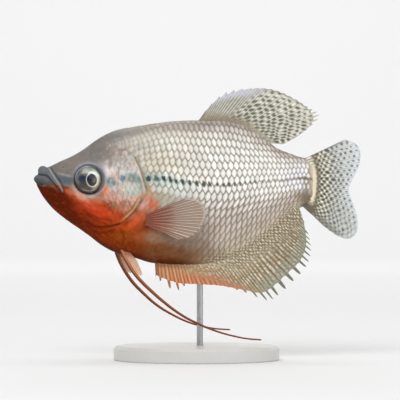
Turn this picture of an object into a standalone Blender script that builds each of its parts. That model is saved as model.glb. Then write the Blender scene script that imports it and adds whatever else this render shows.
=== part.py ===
# Pearl gourami, a still model at life size, held over a floor by a plain display stand.
# The fish is drawn in millimetres: x runs back from the snout tip, h is the height above the fish's axis,
# which is the line through its eye and along its flank, and y runs across, with its left side at -y.

import math

import bmesh
import bpy
from mathutils import Vector

MM = 0.001
TOTAL_LENGTH = 114.5
AXIS_HEIGHT = 63.0
GAP = 0.3
HALF_GAP = GAP / 2

# Body outline
BACK_LINE = [
    (1.2, 1.9), (3.2, 3.5), (5.6, 4.6), (9.5, 6.5), (13.7, 8.4), (17.9, 10.9), (22.1, 14.0), (26.3, 16.5),
    (30.5, 17.9), (36.8, 19.0), (43.1, 20.0), (49.4, 20.7), (57.8, 21.0), (65.5, 21.0), (72.5, 19.7),
    (76.7, 17.8), (80.9, 15.0), (84.7, 11.7), (87.4, 10.3), (90.2, 9.35), (92.9, 8.3), (94.9, 7.9), (98.0, 7.8),
]
BELLY_LINE = [
    (1.2, -1.7), (3.2, -5.4), (5.3, -8.2), (7.4, -10.5), (11.6, -13.9), (15.8, -16.8), (20.0, -19.8),
    (24.2, -23.0), (28.4, -25.2), (35.7, -27.3), (42.0, -29.2), (48.7, -29.9), (55.0, -30.1), (60.6, -29.7),
    (69.7, -27.6), (74.2, -25.5), (80.9, -20.8), (87.5, -14.9), (92.1, -10.6), (94.8, -9.3), (98.0, -8.8),
]
HALF_WIDTH = [
    (1.2, 1.4), (4.0, 2.7), (8.0, 3.9), (13.0, 5.0), (19.5, 6.2), (27.0, 7.3), (35.0, 8.0), (45.0, 8.1),
    (55.0, 7.6), (65.0, 6.5), (75.0, 5.0), (84.0, 3.5), (91.0, 2.4), (98.0, 1.5),
]
WIDEST_HEIGHT = [(1.2, 0.3), (12.0, 0.0), (25.0, -1.5), (40.0, -4.0), (58.0, -3.0), (80.0, -0.5), (98.0, -0.5)]
BACK_ROUNDNESS = [(1.2, 2.2), (25.0, 2.15), (45.0, 1.95), (98.0, 1.8)]
BELLY_ROUNDNESS = [(1.2, 2.1), (25.0, 1.9), (42.0, 1.85), (60.0, 1.7), (98.0, 1.75)]
BODY_START, BODY_END = 1.2, 98.0

# Lines that part the body, as (height, x)
JAW_SEAM = [(-14.0, 8.6), (-11.5, 9.8), (-8.8, 10.8), (-5.6, 11.0), (-2.8, 10.2), (0.7, 8.0), (5.0, 5.4), (8.0, 4.2)]
GILL_SEAM = [
    (-27.0, 26.6), (-24.5, 27.3), (-19.6, 29.2), (-15.4, 32.2), (-11.9, 35.2), (-8.0, 37.9), (-4.2, 39.2),
    (0.0, 38.6), (6.0, 36.6), (10.4, 33.8), (17.5, 29.6), (20.0, 28.4),
]
TAIL_SEAM = [(-30.0, 84.2), (0.0, 86.4), (25.0, 84.2)]
TAIL_ROOT = [(-10.0, 96.2), (-8.0, 97.2), (-4.0, 98.0), (0.0, 98.2), (4.0, 97.8), (7.8, 96.6), (9.0, 96.2)]
RING_POINTS = 36
HEAD_STATIONS, TORSO_STATIONS, STALK_STATIONS, JAW_STATIONS = 14, 20, 7, 6

# Mouth
MOUTH_LINE = [(-1.5, 2.9), (0.4, 2.4), (2.5, 1.75), (5.1, 0.55), (7.0, -1.1), (8.4, -2.5), (10.0, -4.1), (13.0, -6.6)]
UPPER_LIP = [(3.45, 3.35, 1.75), (5.0, 2.2, 1.5), (6.7, 0.3, 1.15), (8.3, -1.6, 0.9), (9.7, -3.2, 0.6)]
LOWER_LIP = [(1.55, 0.35, 1.35), (3.1, -0.45, 1.35), (5.0, -1.35, 1.2), (7.0, -2.4, 0.95), (8.9, -3.6, 0.6)]
LIP_SINK = 0.55
LIP_SIDES = 8

# Eye, nostrils and gill covers
EYE_X, EYE_H, EYE_RADIUS, EYE_DEPTH, EYE_SINK, EYE_YAW = 19.4, 0.25, 4.95, 2.5, 1.0, math.radians(8)
NOSTRILS = [(10.9, 4.6, 0.5), (13.2, 5.7, 0.45)]
COVER_OUTLINE = [
    (39.6, -4.4), (38.4, 2.0), (36.2, 6.6), (33.9, 9.6), (31.6, 8.2), (30.6, 3.6), (30.0, -2.4), (28.6, -7.4),
    (25.8, -11.8), (23.6, -14.6), (26.2, -16.2), (30.6, -15.2), (34.0, -12.6), (37.0, -9.0),
]
COVER_MIDDLE = (33.4, -4.6)
COVER_PROUD, COVER_THICK = 0.4, 1.3
COVER_SPOKES, COVER_RINGS = 30, (0.45, 0.82, 1.0)

# Fins: key rays as (root x, root h, edge x, edge h, reach of the ray beyond the skin's edge)
DORSAL_RAYS = [
    (58.1, 21.0, 60.0, 23.7, 0.7), (60.6, 21.0, 64.6, 28.2, 0.8), (63.4, 21.0, 69.8, 30.7, 0.6),
    (66.9, 20.8, 76.0, 32.0, 0.3), (70.7, 20.2, 83.4, 31.8, 0.2), (74.2, 19.1, 90.2, 29.2, 0.3),
    (77.4, 17.4, 95.8, 25.6, 0.7), (79.8, 15.8, 98.3, 22.2, 2.3), (81.7, 14.5, 97.2, 19.2, 1.2),
    (83.1, 13.5, 94.2, 15.2, 0.3), (84.1, 12.8, 88.6, 12.2, 0.1),
]
ANAL_RAYS = [
    (42.7, -29.4, 42.9, -33.2, 1.2), (45.5, -29.6, 46.4, -34.6, 2.9), (48.7, -29.9, 50.1, -36.2, 2.2),
    (55.0, -30.1, 58.0, -36.6, 0.1), (60.6, -29.7, 65.4, -37.0, 0.2), (66.2, -28.6, 73.9, -38.6, 1.6),
    (69.9, -27.6, 79.8, -39.6, 3.7), (74.3, -25.5, 83.7, -37.7, 3.6), (78.8, -22.5, 88.9, -33.0, 3.4),
    (83.0, -19.1, 93.5, -28.5, 3.0), (86.8, -15.6, 95.6, -23.2, 2.4), (90.2, -12.4, 95.4, -17.9, 1.6),
    (93.2, -10.0, 93.9, -11.6, 0.1),
]
TAIL_RAYS = [
    (96.6, 8.25, 109.2, 14.2, 0.0), (97.0, 7.3, 112.8, 12.8, 0.0), (97.6, 5.4, 114.5, 10.1, 0.0),
    (98.0, 3.6, 114.4, 6.2, 0.0), (98.3, 1.8, 113.2, 2.8, 0.0), (98.4, 0.0, 111.4, -0.7, 0.0),
    (98.35, -1.7, 110.5, -3.5, 0.0), (98.25, -3.3, 111.4, -6.5, 0.0), (98.0, -4.9, 112.8, -10.4, 0.0),
    (97.7, -6.4, 113.6, -14.6, 0.0), (97.35, -7.8, 113.3, -18.1, 0.0), (96.95, -8.9, 111.0, -20.5, 0.0),
    (96.4, -9.5, 107.0, -19.8, 0.0), (95.9, -9.7, 102.3, -16.6, 0.0), (95.4, -9.75, 98.4, -12.9, 0.0),
    (94.9, -9.75, 95.6, -10.4, 0.0),
]
PECTORAL_RAYS = [
    (41.0, -11.5, 53.0, -6.5, 0.0), (41.0, -12.1, 57.1, -6.9, 0.0), (41.0, -12.7, 59.7, -8.4, 0.0),
    (41.0, -13.3, 60.6, -10.7, 0.0), (41.0, -13.9, 60.4, -13.0, 0.0), (41.0, -14.5, 59.4, -15.4, 0.0),
    (40.9, -15.1, 57.6, -18.0, 0.0), (40.7, -15.6, 54.8, -19.8, 0.0), (40.5, -16.1, 51.3, -20.7, 0.0),
]
PECTORAL_LIFT, PECTORAL_SWELL = 2.6, 0.5
PECTORAL_STUB = [(39.6, -13.4, 2.1, 1.3), (41.3, -13.7, 1.9, 1.0), (43.4, -13.6, 1.4, 0.5)]
LEFT_VANE = [
    (31.7, -24.9, 34.6, -31.2, 0.0), (32.4, -25.0, 36.7, -33.3, 0.2), (33.0, -25.1, 38.4, -33.1, 0.3),
    (33.6, -25.2, 37.9, -31.4, 0.0), (34.2, -25.4, 36.6, -28.3, 0.0),
]
RIGHT_VANE = [
    (29.4, -24.8, 32.2, -32.0, 0.0), (30.1, -25.0, 33.5, -32.6, 0.2), (30.8, -25.2, 34.3, -32.6, 0.2),
    (31.4, -25.3, 33.1, -29.6, 0.0),
]
SHOULDER = 0.2
ROOT_SHARE, SEAT_SHARE, SEAT_GAP = 0.28, 0.85, 0.4

# Feelers, the long rays of the pelvic fins, as (x, y, h)
LEFT_FEELER = [
    (30.8, -1.9, -23.6), (31.9, -2.2, -26.4), (33.3, -2.5, -28.9), (34.7, -2.7, -31.3), (36.4, -2.9, -33.6),
    (38.9, -3.1, -36.3), (42.0, -3.3, -39.2), (45.2, -3.5, -42.0), (49.4, -3.7, -45.3), (53.6, -3.9, -48.0),
    (57.8, -3.9, -50.1), (62.0, -3.9, -51.9), (67.4, -3.8, -53.7), (74.1, -3.6, -55.2), (79.5, -3.3, -55.7),
]
RIGHT_FEELER = [
    (28.4, 1.9, -22.9), (29.2, 2.1, -25.6), (30.3, 2.5, -28.5), (31.9, 3.0, -31.6), (33.8, 3.6, -34.6),
    (35.9, 4.2, -37.2), (38.9, 4.8, -40.2), (41.7, 5.3, -42.8), (45.2, 5.8, -45.4), (49.4, 6.1, -47.8),
    (53.6, 6.3, -49.8), (57.8, 6.3, -51.2), (62.0, 6.2, -52.1), (65.2, 6.0, -52.5), (68.8, 5.8, -52.7),
]
FEELER_RADIUS, FEELER_TIP_RADIUS, FEELER_SIDES = 0.66, 0.27, 8
FEELER_PARTS = [("root", 0.0, 0.27), ("middle", 0.27, 0.62), ("tip", 0.62, 1.0)]
FEELER_STEP = 1.6

# Stand
BASE_X, BASE_HALF_LENGTH, BASE_HALF_DEPTH, BASE_HEIGHT, BASE_BEVEL = 57.25, 29.0, 20.0, 5.0, 0.9
BASE_SIDES = 64
ROD_X, ROD_Y, ROD_RADIUS, ROD_SINK, ROD_SIDES = 58.4, 2.9, 1.1, 3.0, 20


def clear_scene():
    for found in list(bpy.data.objects):
        bpy.data.objects.remove(found)


def material(name, colour, roughness, metallic=0.0):
    made = bpy.data.materials.new(name)
    made.use_nodes = True
    shader = made.node_tree.nodes["Principled BSDF"]
    shader.inputs["Base Color"].default_value = (*colour, 1.0)
    shader.inputs["Roughness"].default_value = roughness
    shader.inputs["Metallic"].default_value = metallic
    return made


def smooth_curve(points):
    """A piecewise cubic through the points that never swings past them."""
    xs = [p[0] for p in points]
    ys = [p[1] for p in points]
    rise = [(ys[i + 1] - ys[i]) / (xs[i + 1] - xs[i]) for i in range(len(xs) - 1)]
    slopes = [rise[0]]
    for before, after in zip(rise, rise[1:]):
        slopes.append(0.0 if before * after <= 0 else 2 * before * after / (before + after))
    slopes.append(rise[-1])

    def value(x):
        x = min(max(x, xs[0]), xs[-1])
        i = 0
        while i < len(xs) - 2 and x > xs[i + 1]:
            i += 1
        step = xs[i + 1] - xs[i]
        t = (x - xs[i]) / step
        low, high = (1 + 2 * t) * (1 - t) ** 2, t * t * (3 - 2 * t)
        return (
            low * ys[i] + t * (1 - t) ** 2 * step * slopes[i]
            + high * ys[i + 1] + t * t * (t - 1) * step * slopes[i + 1]
        )

    return value


def along(rows, u):
    """The row at share u of the list, by a smooth curve through all the rows."""
    place = min(max(u, 0.0), 1.0) * (len(rows) - 1)
    i = min(int(place), len(rows) - 2)
    t = place - i
    first, last = rows[max(i - 1, 0)], rows[min(i + 2, len(rows) - 1)]
    found = []
    for a, b, c, d in zip(first, rows[i], rows[i + 1], last):
        found.append(b + 0.5 * t * (c - a + t * (2 * a - 5 * b + 4 * c - d + t * (3 * (b - c) + d - a))))
    return found


back = smooth_curve(BACK_LINE)
belly = smooth_curve(BELLY_LINE)
half_width = smooth_curve(HALF_WIDTH)
widest_height = smooth_curve(WIDEST_HEIGHT)
back_roundness = smooth_curve(BACK_ROUNDNESS)
belly_roundness = smooth_curve(BELLY_ROUNDNESS)
jaw_seam = smooth_curve(JAW_SEAM)
gill_seam = smooth_curve(GILL_SEAM)
tail_seam = smooth_curve(TAIL_SEAM)
tail_root = smooth_curve(TAIL_ROOT)
mouth_line = smooth_curve(MOUTH_LINE)


def section_point(x, angle, grow=0.0):
    """A point (y, h) of the body's section at x: angle -90 degrees is the belly, 0 the flank and 90 the back."""
    middle = widest_height(x)
    upper = angle >= 0
    height = (back(x) - middle if upper else middle - belly(x)) + grow
    power = 2 / (back_roundness(x) if upper else belly_roundness(x))
    y = (half_width(x) + grow) * max(math.cos(angle), 0.0) ** power
    h = middle + math.copysign(height * abs(math.sin(angle)) ** power, angle)
    return y, h


def flank_y(x, h):
    """How far out the body's surface is at that x and height."""
    middle = widest_height(x)
    upper = h >= middle
    reach = back(x) - middle if upper else middle - belly(x)
    power = back_roundness(x) if upper else belly_roundness(x)
    return half_width(x) * max(1 - min(abs(h - middle) / reach, 1.0) ** power, 0.0) ** (1 / power)


def edge_drop(x, y, upper):
    """How far the surface falls away from the back or belly line, at y to the side of it."""
    middle = widest_height(x)
    reach = back(x) - middle if upper else middle - belly(x)
    power = back_roundness(x) if upper else belly_roundness(x)
    return reach * (1 - max(1 - (abs(y) / half_width(x)) ** power, 0.0) ** (1 / power))


def build_object(name, points, faces, finish, parent):
    """A mesh object from points in millimetres in the parent's frame."""
    mesh = bpy.data.meshes.new(name)
    mesh.from_pydata([Vector(p) * MM for p in points], [], faces)
    shape = bmesh.new()
    shape.from_mesh(mesh)
    bmesh.ops.recalc_face_normals(shape, faces=shape.faces)
    shape.to_mesh(mesh)
    shape.free()
    made = bpy.data.objects.new(name, mesh)
    made.parent = parent
    bpy.context.scene.collection.objects.link(made)
    if finish:
        mesh.materials.append(finish)
    return made


def helper(made):
    made.hide_render = True
    made.display_type = "WIRE"
    return made


def evaluated_mesh(made):
    bpy.context.view_layer.update()
    graph = bpy.context.evaluated_depsgraph_get()
    return bpy.data.meshes.new_from_object(made.evaluated_get(graph))


def join(made, others):
    """Unions the other closed objects into this one and removes them."""
    pieces = bpy.data.collections.new(made.name + "_pieces")
    bpy.context.scene.collection.children.link(pieces)
    for other in others:
        pieces.objects.link(other)
    union = made.modifiers.new("join", "BOOLEAN")
    union.operation = "UNION"
    union.operand_type = "COLLECTION"
    union.collection = pieces
    joined = evaluated_mesh(made)
    made.modifiers.clear()
    made.data = joined
    for other in others:
        bpy.data.objects.remove(other)
    bpy.data.collections.remove(pieces)


def cut(made, operation, *cutters):
    """Applies a Boolean with each cutter, then keeps the largest closed surface."""
    for cutter in cutters:
        step = made.modifiers.new("cut", "BOOLEAN")
        step.operation = operation
        step.object = cutter
        shape = evaluated_mesh(made)
        made.modifiers.clear()
        made.data = shape
    keep_largest(made)


def keep_largest(made):
    shape = bmesh.new()
    shape.from_mesh(made.data)
    shape.faces.ensure_lookup_table()
    unseen = set(shape.faces)
    surfaces = []
    while unseen:
        queue = [unseen.pop()]
        surface = list(queue)
        while queue:
            for edge in queue.pop().edges:
                for face in edge.link_faces:
                    if face in unseen:
                        unseen.remove(face)
                        queue.append(face)
                        surface.append(face)
        surfaces.append(surface)
    surfaces.sort(key=lambda surface: sum(face.calc_area() for face in surface))
    scraps = [face for surface in surfaces[:-1] for face in surface]
    bmesh.ops.delete(shape, geom=scraps, context="FACES")
    shape.to_mesh(made.data)
    shape.free()


def finish_shading(made, degrees=40):
    made.data.shade_smooth()
    made.data.set_sharp_from_angle(angle=math.radians(degrees))


def seam_crossing(seam, shift, angle, grow):
    """Where the body's line at this angle crosses the seam, by halving."""
    low, high = BODY_START, BODY_END
    for _ in range(40):
        x = (low + high) / 2
        if x < seam(section_point(x, angle, grow)[1]) + shift:
            low = x
        else:
            high = x
    return (low + high) / 2


def body_length(name, start, end, stations, finish, parent, grow=0.0):
    """The closed body between two seams, each a line seen from the side or a plain x, with flat-across ends."""
    angles = [math.pi * (2 * j / RING_POINTS - 0.5) for j in range(RING_POINTS // 2 + 1)]

    def ends(angle):
        return [
            edge if isinstance(edge, float) else seam_crossing(edge[0], edge[1], angle, grow)
            for edge in (start, end)
        ]

    spans = [ends(angle) for angle in angles]
    points = []
    for i in range(stations + 1):
        ring = []
        for angle, (first, last) in zip(angles, spans):
            x = first + (last - first) * i / stations
            y, h = section_point(x, angle, grow)
            ring.append((x, y, h))
        points += ring + [(x, -y, h) for x, y, h in ring[-2:0:-1]]
    faces = []
    for i in range(stations):
        for j in range(RING_POINTS):
            after = (j + 1) % RING_POINTS
            a, b = i * RING_POINTS + j, i * RING_POINTS + after
            faces.append((a, b, b + RING_POINTS, a + RING_POINTS))
    for first in (0, stations * RING_POINTS):
        for j in range(RING_POINTS // 2):
            rights = [first + j, first + j + 1]
            lefts = [first + (RING_POINTS - j - 1) % RING_POINTS, first + (RING_POINTS - j) % RING_POINTS]
            corners = list(dict.fromkeys(rights + lefts))
            faces.append(tuple(corners))
    return build_object(name, points, faces, finish, parent)


def tube(name, path, finish, parent, sides, stretch=1.0, pointed=False):
    """A closed tube along points (x, y, h, radius), stretched in height by a share of its radius."""
    centres = [Vector(p[:3]) for p in path]
    points = []
    across = None
    for i, (centre, row) in enumerate(zip(centres, path)):
        ahead = (centres[min(i + 1, len(path) - 1)] - centres[max(i - 1, 0)]).normalized()
        if across is None:
            across = ahead.cross(Vector((0, 1, 0) if abs(ahead.z) > 0.9 else (0, 0, 1))).normalized()
        across = (across - across.dot(ahead) * ahead).normalized()
        upward = ahead.cross(across)
        for k in range(sides):
            turn = 2 * math.pi * k / sides
            offset = (across * math.cos(turn) + upward * math.sin(turn)) * row[3]
            points.append(centre + Vector((offset.x, offset.y, offset.z * stretch)))
    faces = []
    rings = len(path)
    for i in range(rings - 1):
        for k in range(sides):
            after = (k + 1) % sides
            a, b = i * sides + k, i * sides + after
            faces.append((a, b, b + sides, a + sides))
    faces.append(tuple(range(sides)))
    last = (rings - 1) * sides
    if pointed:
        points.append(centres[-1] + ahead * path[-1][3])
        faces += [(last + k, last + (k + 1) % sides, len(points) - 1) for k in range(sides)]
    else:
        faces.append(tuple(range(last, last + sides)))
    return build_object(name, points, faces, finish, parent)


def prism(name, outline, reach, parent):
    """A closed prism across the fish, from an outline (x, h)."""
    count = len(outline)
    points = [(x, y, h) for y in (-reach, reach) for x, h in outline]
    faces = [tuple(range(count)), tuple(range(count, 2 * count))]
    for k in range(count):
        after = (k + 1) % count
        faces.append((k, after, count + after, count + k))
    return helper(build_object(name, points, faces, None, parent))


def blend(low, high, share):
    share = min(max(share, 0.0), 1.0)
    return low + (high - low) * share * share * (3 - 2 * share)


def fin(name, keys, counts, finish, parent, put, seat=None, rows=6, root_half=0.75, skin_half=0.27,
        ridge=0.17, scallop=0.03, foot=0.16, bow=0.0, move_root=None):
    """A fin from its key rays: a skin of even thickness with a ridge along each ray, whose tips stand free.
    counts gives how many rays grow in each stretch between two key rays, and put turns (x, h, out) into a place."""
    shares = [0.0]
    for i, count in enumerate(counts):
        shares += [(i + (k + 1) / count) / len(counts) for k in range(count)]

    def mid_ray(u, reach):
        root_x, root_h, edge_x, edge_h, _ = along(keys, u)
        if move_root:
            root_x, root_h = move_root(root_x, root_h)
        x, h = root_x + (edge_x - root_x) * reach, root_h + (edge_h - root_h) * reach
        swing = bow * math.sin(math.pi * min(reach, 1.0))
        length = math.hypot(edge_x - root_x, edge_h - root_h)
        return x - (edge_h - root_h) / length * swing, h + (edge_x - root_x) / length * swing

    columns = []
    for i, u in enumerate(shares):
        before = u - (u - shares[i - 1]) * foot if i else u
        after = u + (shares[i + 1] - u) * foot if i < len(shares) - 1 else u
        if i:
            columns.append(((u + shares[i - 1]) / 2, "skin", i))
            columns.append((before, "foot", i))
        columns.append((u, "ray", i))
        if i < len(shares) - 1:
            columns.append((after, "foot", i))
    points = []
    index = {}
    for c, (u, kind, _) in enumerate(columns):
        reach_end = 1 - scallop if kind == "skin" else 1.0
        for r in range(rows + 1):
            v = r / rows
            x, h = mid_ray(u, v * reach_end)
            thick_end = min(root_half, ROOT_SHARE * half_width(x)) if seat else root_half
            half = blend(thick_end, skin_half, v / 0.45)
            half += ridge * (1 - 0.35 * v) if kind == "ray" else 0.0
            for side in (-1, 1):
                lift = seat(x, half) if seat and r == 0 else 0.0
                index[c, r, side] = len(points)
                points.append(put(x, h + lift, side * half))
        if seat:
            index[c, "seat"] = len(points)
            points.append(put(*mid_ray(u, 0.0), 0.0))
    faces = []
    for c in range(len(columns) - 1):
        for r in range(rows):
            for side in (-1, 1):
                a, b = index[c, r, side], index[c + 1, r, side]
                d, e = index[c, r + 1, side], index[c + 1, r + 1, side]
                faces += [(a, b, e), (a, e, d)]
        if seat:
            for side in (-1, 1):
                faces.append((index[c, 0, side], index[c + 1, 0, side], index[c + 1, "seat"], index[c, "seat"]))
        else:
            faces.append((index[c, 0, -1], index[c + 1, 0, -1], index[c + 1, 0, 1], index[c, 0, 1]))
        same_ray = columns[c][2] == columns[c + 1][2] and "skin" not in (columns[c][1], columns[c + 1][1])
        free = same_ray and along(keys, shares[columns[c][2]])[4] > SHOULDER
        if not free:
            front, behind = (index[c, rows, -1], index[c + 1, rows, -1]), (index[c, rows, 1], index[c + 1, rows, 1])
            faces.append((front[0], front[1], behind[1], behind[0]))
    for c in (0, len(columns) - 1):
        for r in range(rows):
            corners = [index[c, r, -1], index[c, r, 1], index[c, r + 1, 1], index[c, r + 1, -1]]
            faces.append(tuple(corners))
        if seat:
            faces.append((index[c, 0, -1], index[c, 0, 1], index[c, "seat"]))
    for i, u in enumerate(shares):
        key = along(keys, u)
        if key[4] <= SHOULDER:
            continue
        mine = [c for c, column in enumerate(columns) if column[2] == i and column[1] != "skin"]
        length = math.hypot(key[2] - key[0], key[3] - key[1])
        x, h = mid_ray(u, 1 + key[4] / length)
        tip = len(points)
        points.append(put(x, h, 0.0))
        rim = [index[c, rows, -1] for c in mine] + [index[c, rows, 1] for c in reversed(mine)]
        faces += [(rim[k], rim[(k + 1) % len(rim)], tip) for k in range(len(rim))]
    return build_object(name, points, faces, finish, parent)


def in_mid_plane(x, h, out):
    return (x, out, h)


def dorsal_seat(x, out):
    return -SEAT_SHARE * edge_drop(x, out, True)


def anal_seat(x, out):
    return SEAT_SHARE * edge_drop(x, out, False)


def root_beside(edge_line, side):
    """Moves a ray's root to a gap outside the body's edge line."""
    def moved(x, _):
        slope = (edge_line(x + 0.1) - edge_line(x - 0.1)) / 0.2
        return x, edge_line(x) + side * SEAT_GAP * math.hypot(1.0, slope)

    return moved


def make_jaws(finish, parent):
    """Upper and lower jaw: the body's front end with a lip round each, parted along the mouth."""
    slit = GAP * 0.6
    line = [(x, mouth_line(x)) for x, _ in MOUTH_LINE]
    far_above, far_below, ahead, behind = 12.0, -18.0, -1.5, 13.0
    halves = {
        "upper_jaw": ([(x, h + slit) for x, h in line] + [(behind, far_above), (ahead, far_above)], UPPER_LIP),
        "lower_jaw": ([(x, h - slit) for x, h in line] + [(behind, far_below), (ahead, far_below)], LOWER_LIP),
    }
    for name, (outline, lip) in halves.items():
        jaw = body_length(name, BODY_START, (jaw_seam, -HALF_GAP), JAW_STATIONS, finish, parent)
        side_path = []
        for k in range(9):
            x, h, radius = along(lip, k / 8)
            reach = flank_y(x, h) - LIP_SINK * radius
            side_path.append((x, max(reach, 0.0) * min(k / 3, 1.0) ** 0.5, h, radius))
        path = [(x, -y, h, radius) for x, y, h, radius in side_path[:0:-1]] + side_path
        ring = tube(name + "_lip", path, finish, parent, LIP_SIDES)
        join(jaw, [ring])
        half = prism(name + "_half", outline, 10.0, parent)
        cut(jaw, "INTERSECT", half)
        bpy.data.objects.remove(half)
        finish_shading(jaw)


def ellipsoid(name, centre, radii, yaw, finish, parent, segments=20, rings=10):
    shape = bmesh.new()
    bmesh.ops.create_uvsphere(shape, u_segments=segments, v_segments=rings, radius=1.0)
    for vertex in shape.verts:
        x, y, z = vertex.co
        vertex.co = Vector((x * radii[0], z * radii[1], -y * radii[2])) * MM
    mesh = bpy.data.meshes.new(name)
    shape.to_mesh(mesh)
    shape.free()
    made = bpy.data.objects.new(name, mesh)
    made.parent = parent
    made.location = Vector(centre) * MM
    made.rotation_euler = (0.0, 0.0, yaw)
    bpy.context.scene.collection.objects.link(made)
    if finish:
        mesh.materials.append(finish)
    return made


def cover_plate(name, side, finish, parent, grow=0.0):
    """A gill cover: a curved plate on the cheek, a little proud of it. A grown copy cuts its seat."""
    middle_x, middle_h = COVER_MIDDLE
    loop = COVER_OUTLINE[-1:] + COVER_OUTLINE + COVER_OUTLINE[:2]
    count = len(COVER_OUTLINE)
    rim = []
    for k in range(COVER_SPOKES):
        x, h = along(loop, (1 + count * k / COVER_SPOKES) / (count + 2))
        reach = math.hypot(x - middle_x, h - middle_h)
        x += (x - middle_x) / reach * grow
        h += (h - middle_h) / reach * grow
        rear = gill_seam(h) - HALF_GAP
        rim.append((x if x < rear - 0.5 else rear + 2 * grow, h))
    points = []
    for share in (0.0,) + COVER_RINGS:
        for x, h in rim if share else [rim[0]]:
            x, h = middle_x + (x - middle_x) * share, middle_h + (h - middle_h) * share
            surface = flank_y(x, h)
            outer = surface + (1.0 if grow else COVER_PROUD * (1 - blend(0.0, 0.8, (share - 0.75) / 0.25)))
            points += [(x, side * outer, h), (x, side * (surface + COVER_PROUD - COVER_THICK - grow), h)]
    faces = []

    def at(ring, k, inner):
        return inner if ring == 0 else 2 * (1 + (ring - 1) * COVER_SPOKES + k % COVER_SPOKES) + inner

    rings = len(COVER_RINGS)
    for k in range(COVER_SPOKES):
        for inner in (0, 1):
            faces.append((at(0, 0, inner), at(1, k, inner), at(1, k + 1, inner)))
            for ring in range(1, rings):
                a, b = at(ring, k, inner), at(ring, k + 1, inner)
                c, d = at(ring + 1, k + 1, inner), at(ring + 1, k, inner)
                faces += [(a, b, c), (a, c, d)]
        faces.append((at(rings, k, 0), at(rings, k + 1, 0), at(rings, k + 1, 1), at(rings, k, 1)))
    return build_object(name, points, faces, finish, parent)


def make_head(skin, eye_finish, parent):
    """Head with eyes in their sockets, nostrils and a seat for each gill cover."""
    head = body_length(
        "head", (jaw_seam, HALF_GAP), (gill_seam, -HALF_GAP), HEAD_STATIONS, skin, parent
    )
    cutters = []
    for side, word in ((-1, "left"), (1, "right")):
        centre = (EYE_X, side * (flank_y(EYE_X, EYE_H) - EYE_SINK), EYE_H)
        yaw = -side * EYE_YAW
        eye = ellipsoid("eye_" + word, centre, (EYE_RADIUS, EYE_DEPTH, EYE_RADIUS), yaw, eye_finish, parent)
        finish_shading(eye)
        socket = (EYE_RADIUS + GAP, EYE_DEPTH + GAP, EYE_RADIUS + GAP)
        cutters.append(ellipsoid("socket_" + word, centre, socket, yaw, None, parent))
        for k, (x, h, radius) in enumerate(NOSTRILS):
            pit = (x, side * flank_y(x, h), h)
            cutters.append(
                ellipsoid(f"nostril_{word}_{k}", pit, (radius,) * 3, 0.0, None, parent, segments=8, rings=6)
            )
        cover = cover_plate("gill_cover_" + word, side, skin, parent)
        finish_shading(cover)
        cutters.append(cover_plate("cover_seat_" + word, side, None, parent, grow=GAP))
    cut(head, "DIFFERENCE", *cutters)
    for cutter in cutters:
        bpy.data.objects.remove(cutter)
    finish_shading(head)


def make_pectoral(word, side, finish, body_cutter, parent):
    """A pectoral fin that stands a little off the flank, on a short fleshy stub cut to the flank's shape."""
    root_y = flank_y(PECTORAL_RAYS[0][0], PECTORAL_RAYS[4][1])
    length = PECTORAL_RAYS[4][2] - PECTORAL_RAYS[4][0]

    def put(x, h, out):
        share = (x - PECTORAL_RAYS[4][0]) / length
        y = root_y + 0.35 + PECTORAL_LIFT * share + PECTORAL_SWELL * math.sin(math.pi * share)
        return (x, side * (y + out), h)

    name = "pectoral_fin_" + word
    made = fin(name, PECTORAL_RAYS, [1, 2, 1, 1, 1, 2, 1, 1], finish, parent, put, rows=4, root_half=0.5, bow=0.35)
    stub_path = [(x, side * (root_y - 0.9 + 0.75 * k), h, high) for k, (x, h, high, _) in enumerate(PECTORAL_STUB)]
    stub = tube(name + "_stub", stub_path, finish, parent, 12)
    join(made, [stub])
    cut(made, "DIFFERENCE", body_cutter)
    finish_shading(made, 30)


def make_pelvic(word, path, vane_rays, finish, body_cutter, parent):
    """One pelvic fin: a long feeler in three lengths, with a short vane behind its root."""
    rows = [(x, y, h, 0.0) for x, y, h in path]
    lengths = [0.0]
    for k in range(200):
        step = Vector(along(rows, (k + 1) / 200)[:3]) - Vector(along(rows, k / 200)[:3])
        lengths.append(lengths[-1] + step.length)
    total = lengths[-1]

    def at(distance):
        k = next((k for k, length in enumerate(lengths) if length >= distance - 1e-9), 200)
        x, y, h, _ = along(rows, k / 200)
        radius = blend(FEELER_RADIUS, FEELER_TIP_RADIUS, distance / total)
        return (x, y, h, radius)

    for part, first, last in FEELER_PARTS:
        start = first * total + (HALF_GAP if first else 0.0)
        end = last * total - (HALF_GAP if last < 1 else 0.0)
        steps = max(round((end - start) / FEELER_STEP), 3)
        stretch = [at(start + (end - start) * k / steps) for k in range(steps + 1)]
        name = f"pelvic_fin_{word}" if part == "root" else f"feeler_{word}_{part}"
        length = tube(name, stretch, finish, parent, FEELER_SIDES, pointed=last == 1.0)
        if part == "root":
            across = smooth_curve([(h, y) for _, y, h in reversed(path)])

            def put(x, h, out):
                return (x, across(h) + out, h)

            counts = [1] * (len(vane_rays) - 1)
            vane = fin(
                name + "_vane", vane_rays, counts, finish, parent, put, rows=3, root_half=0.4, ridge=0.12
            )
            join(length, [vane])
            cut(length, "DIFFERENCE", body_cutter)
        finish_shading(length, 50)


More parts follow.
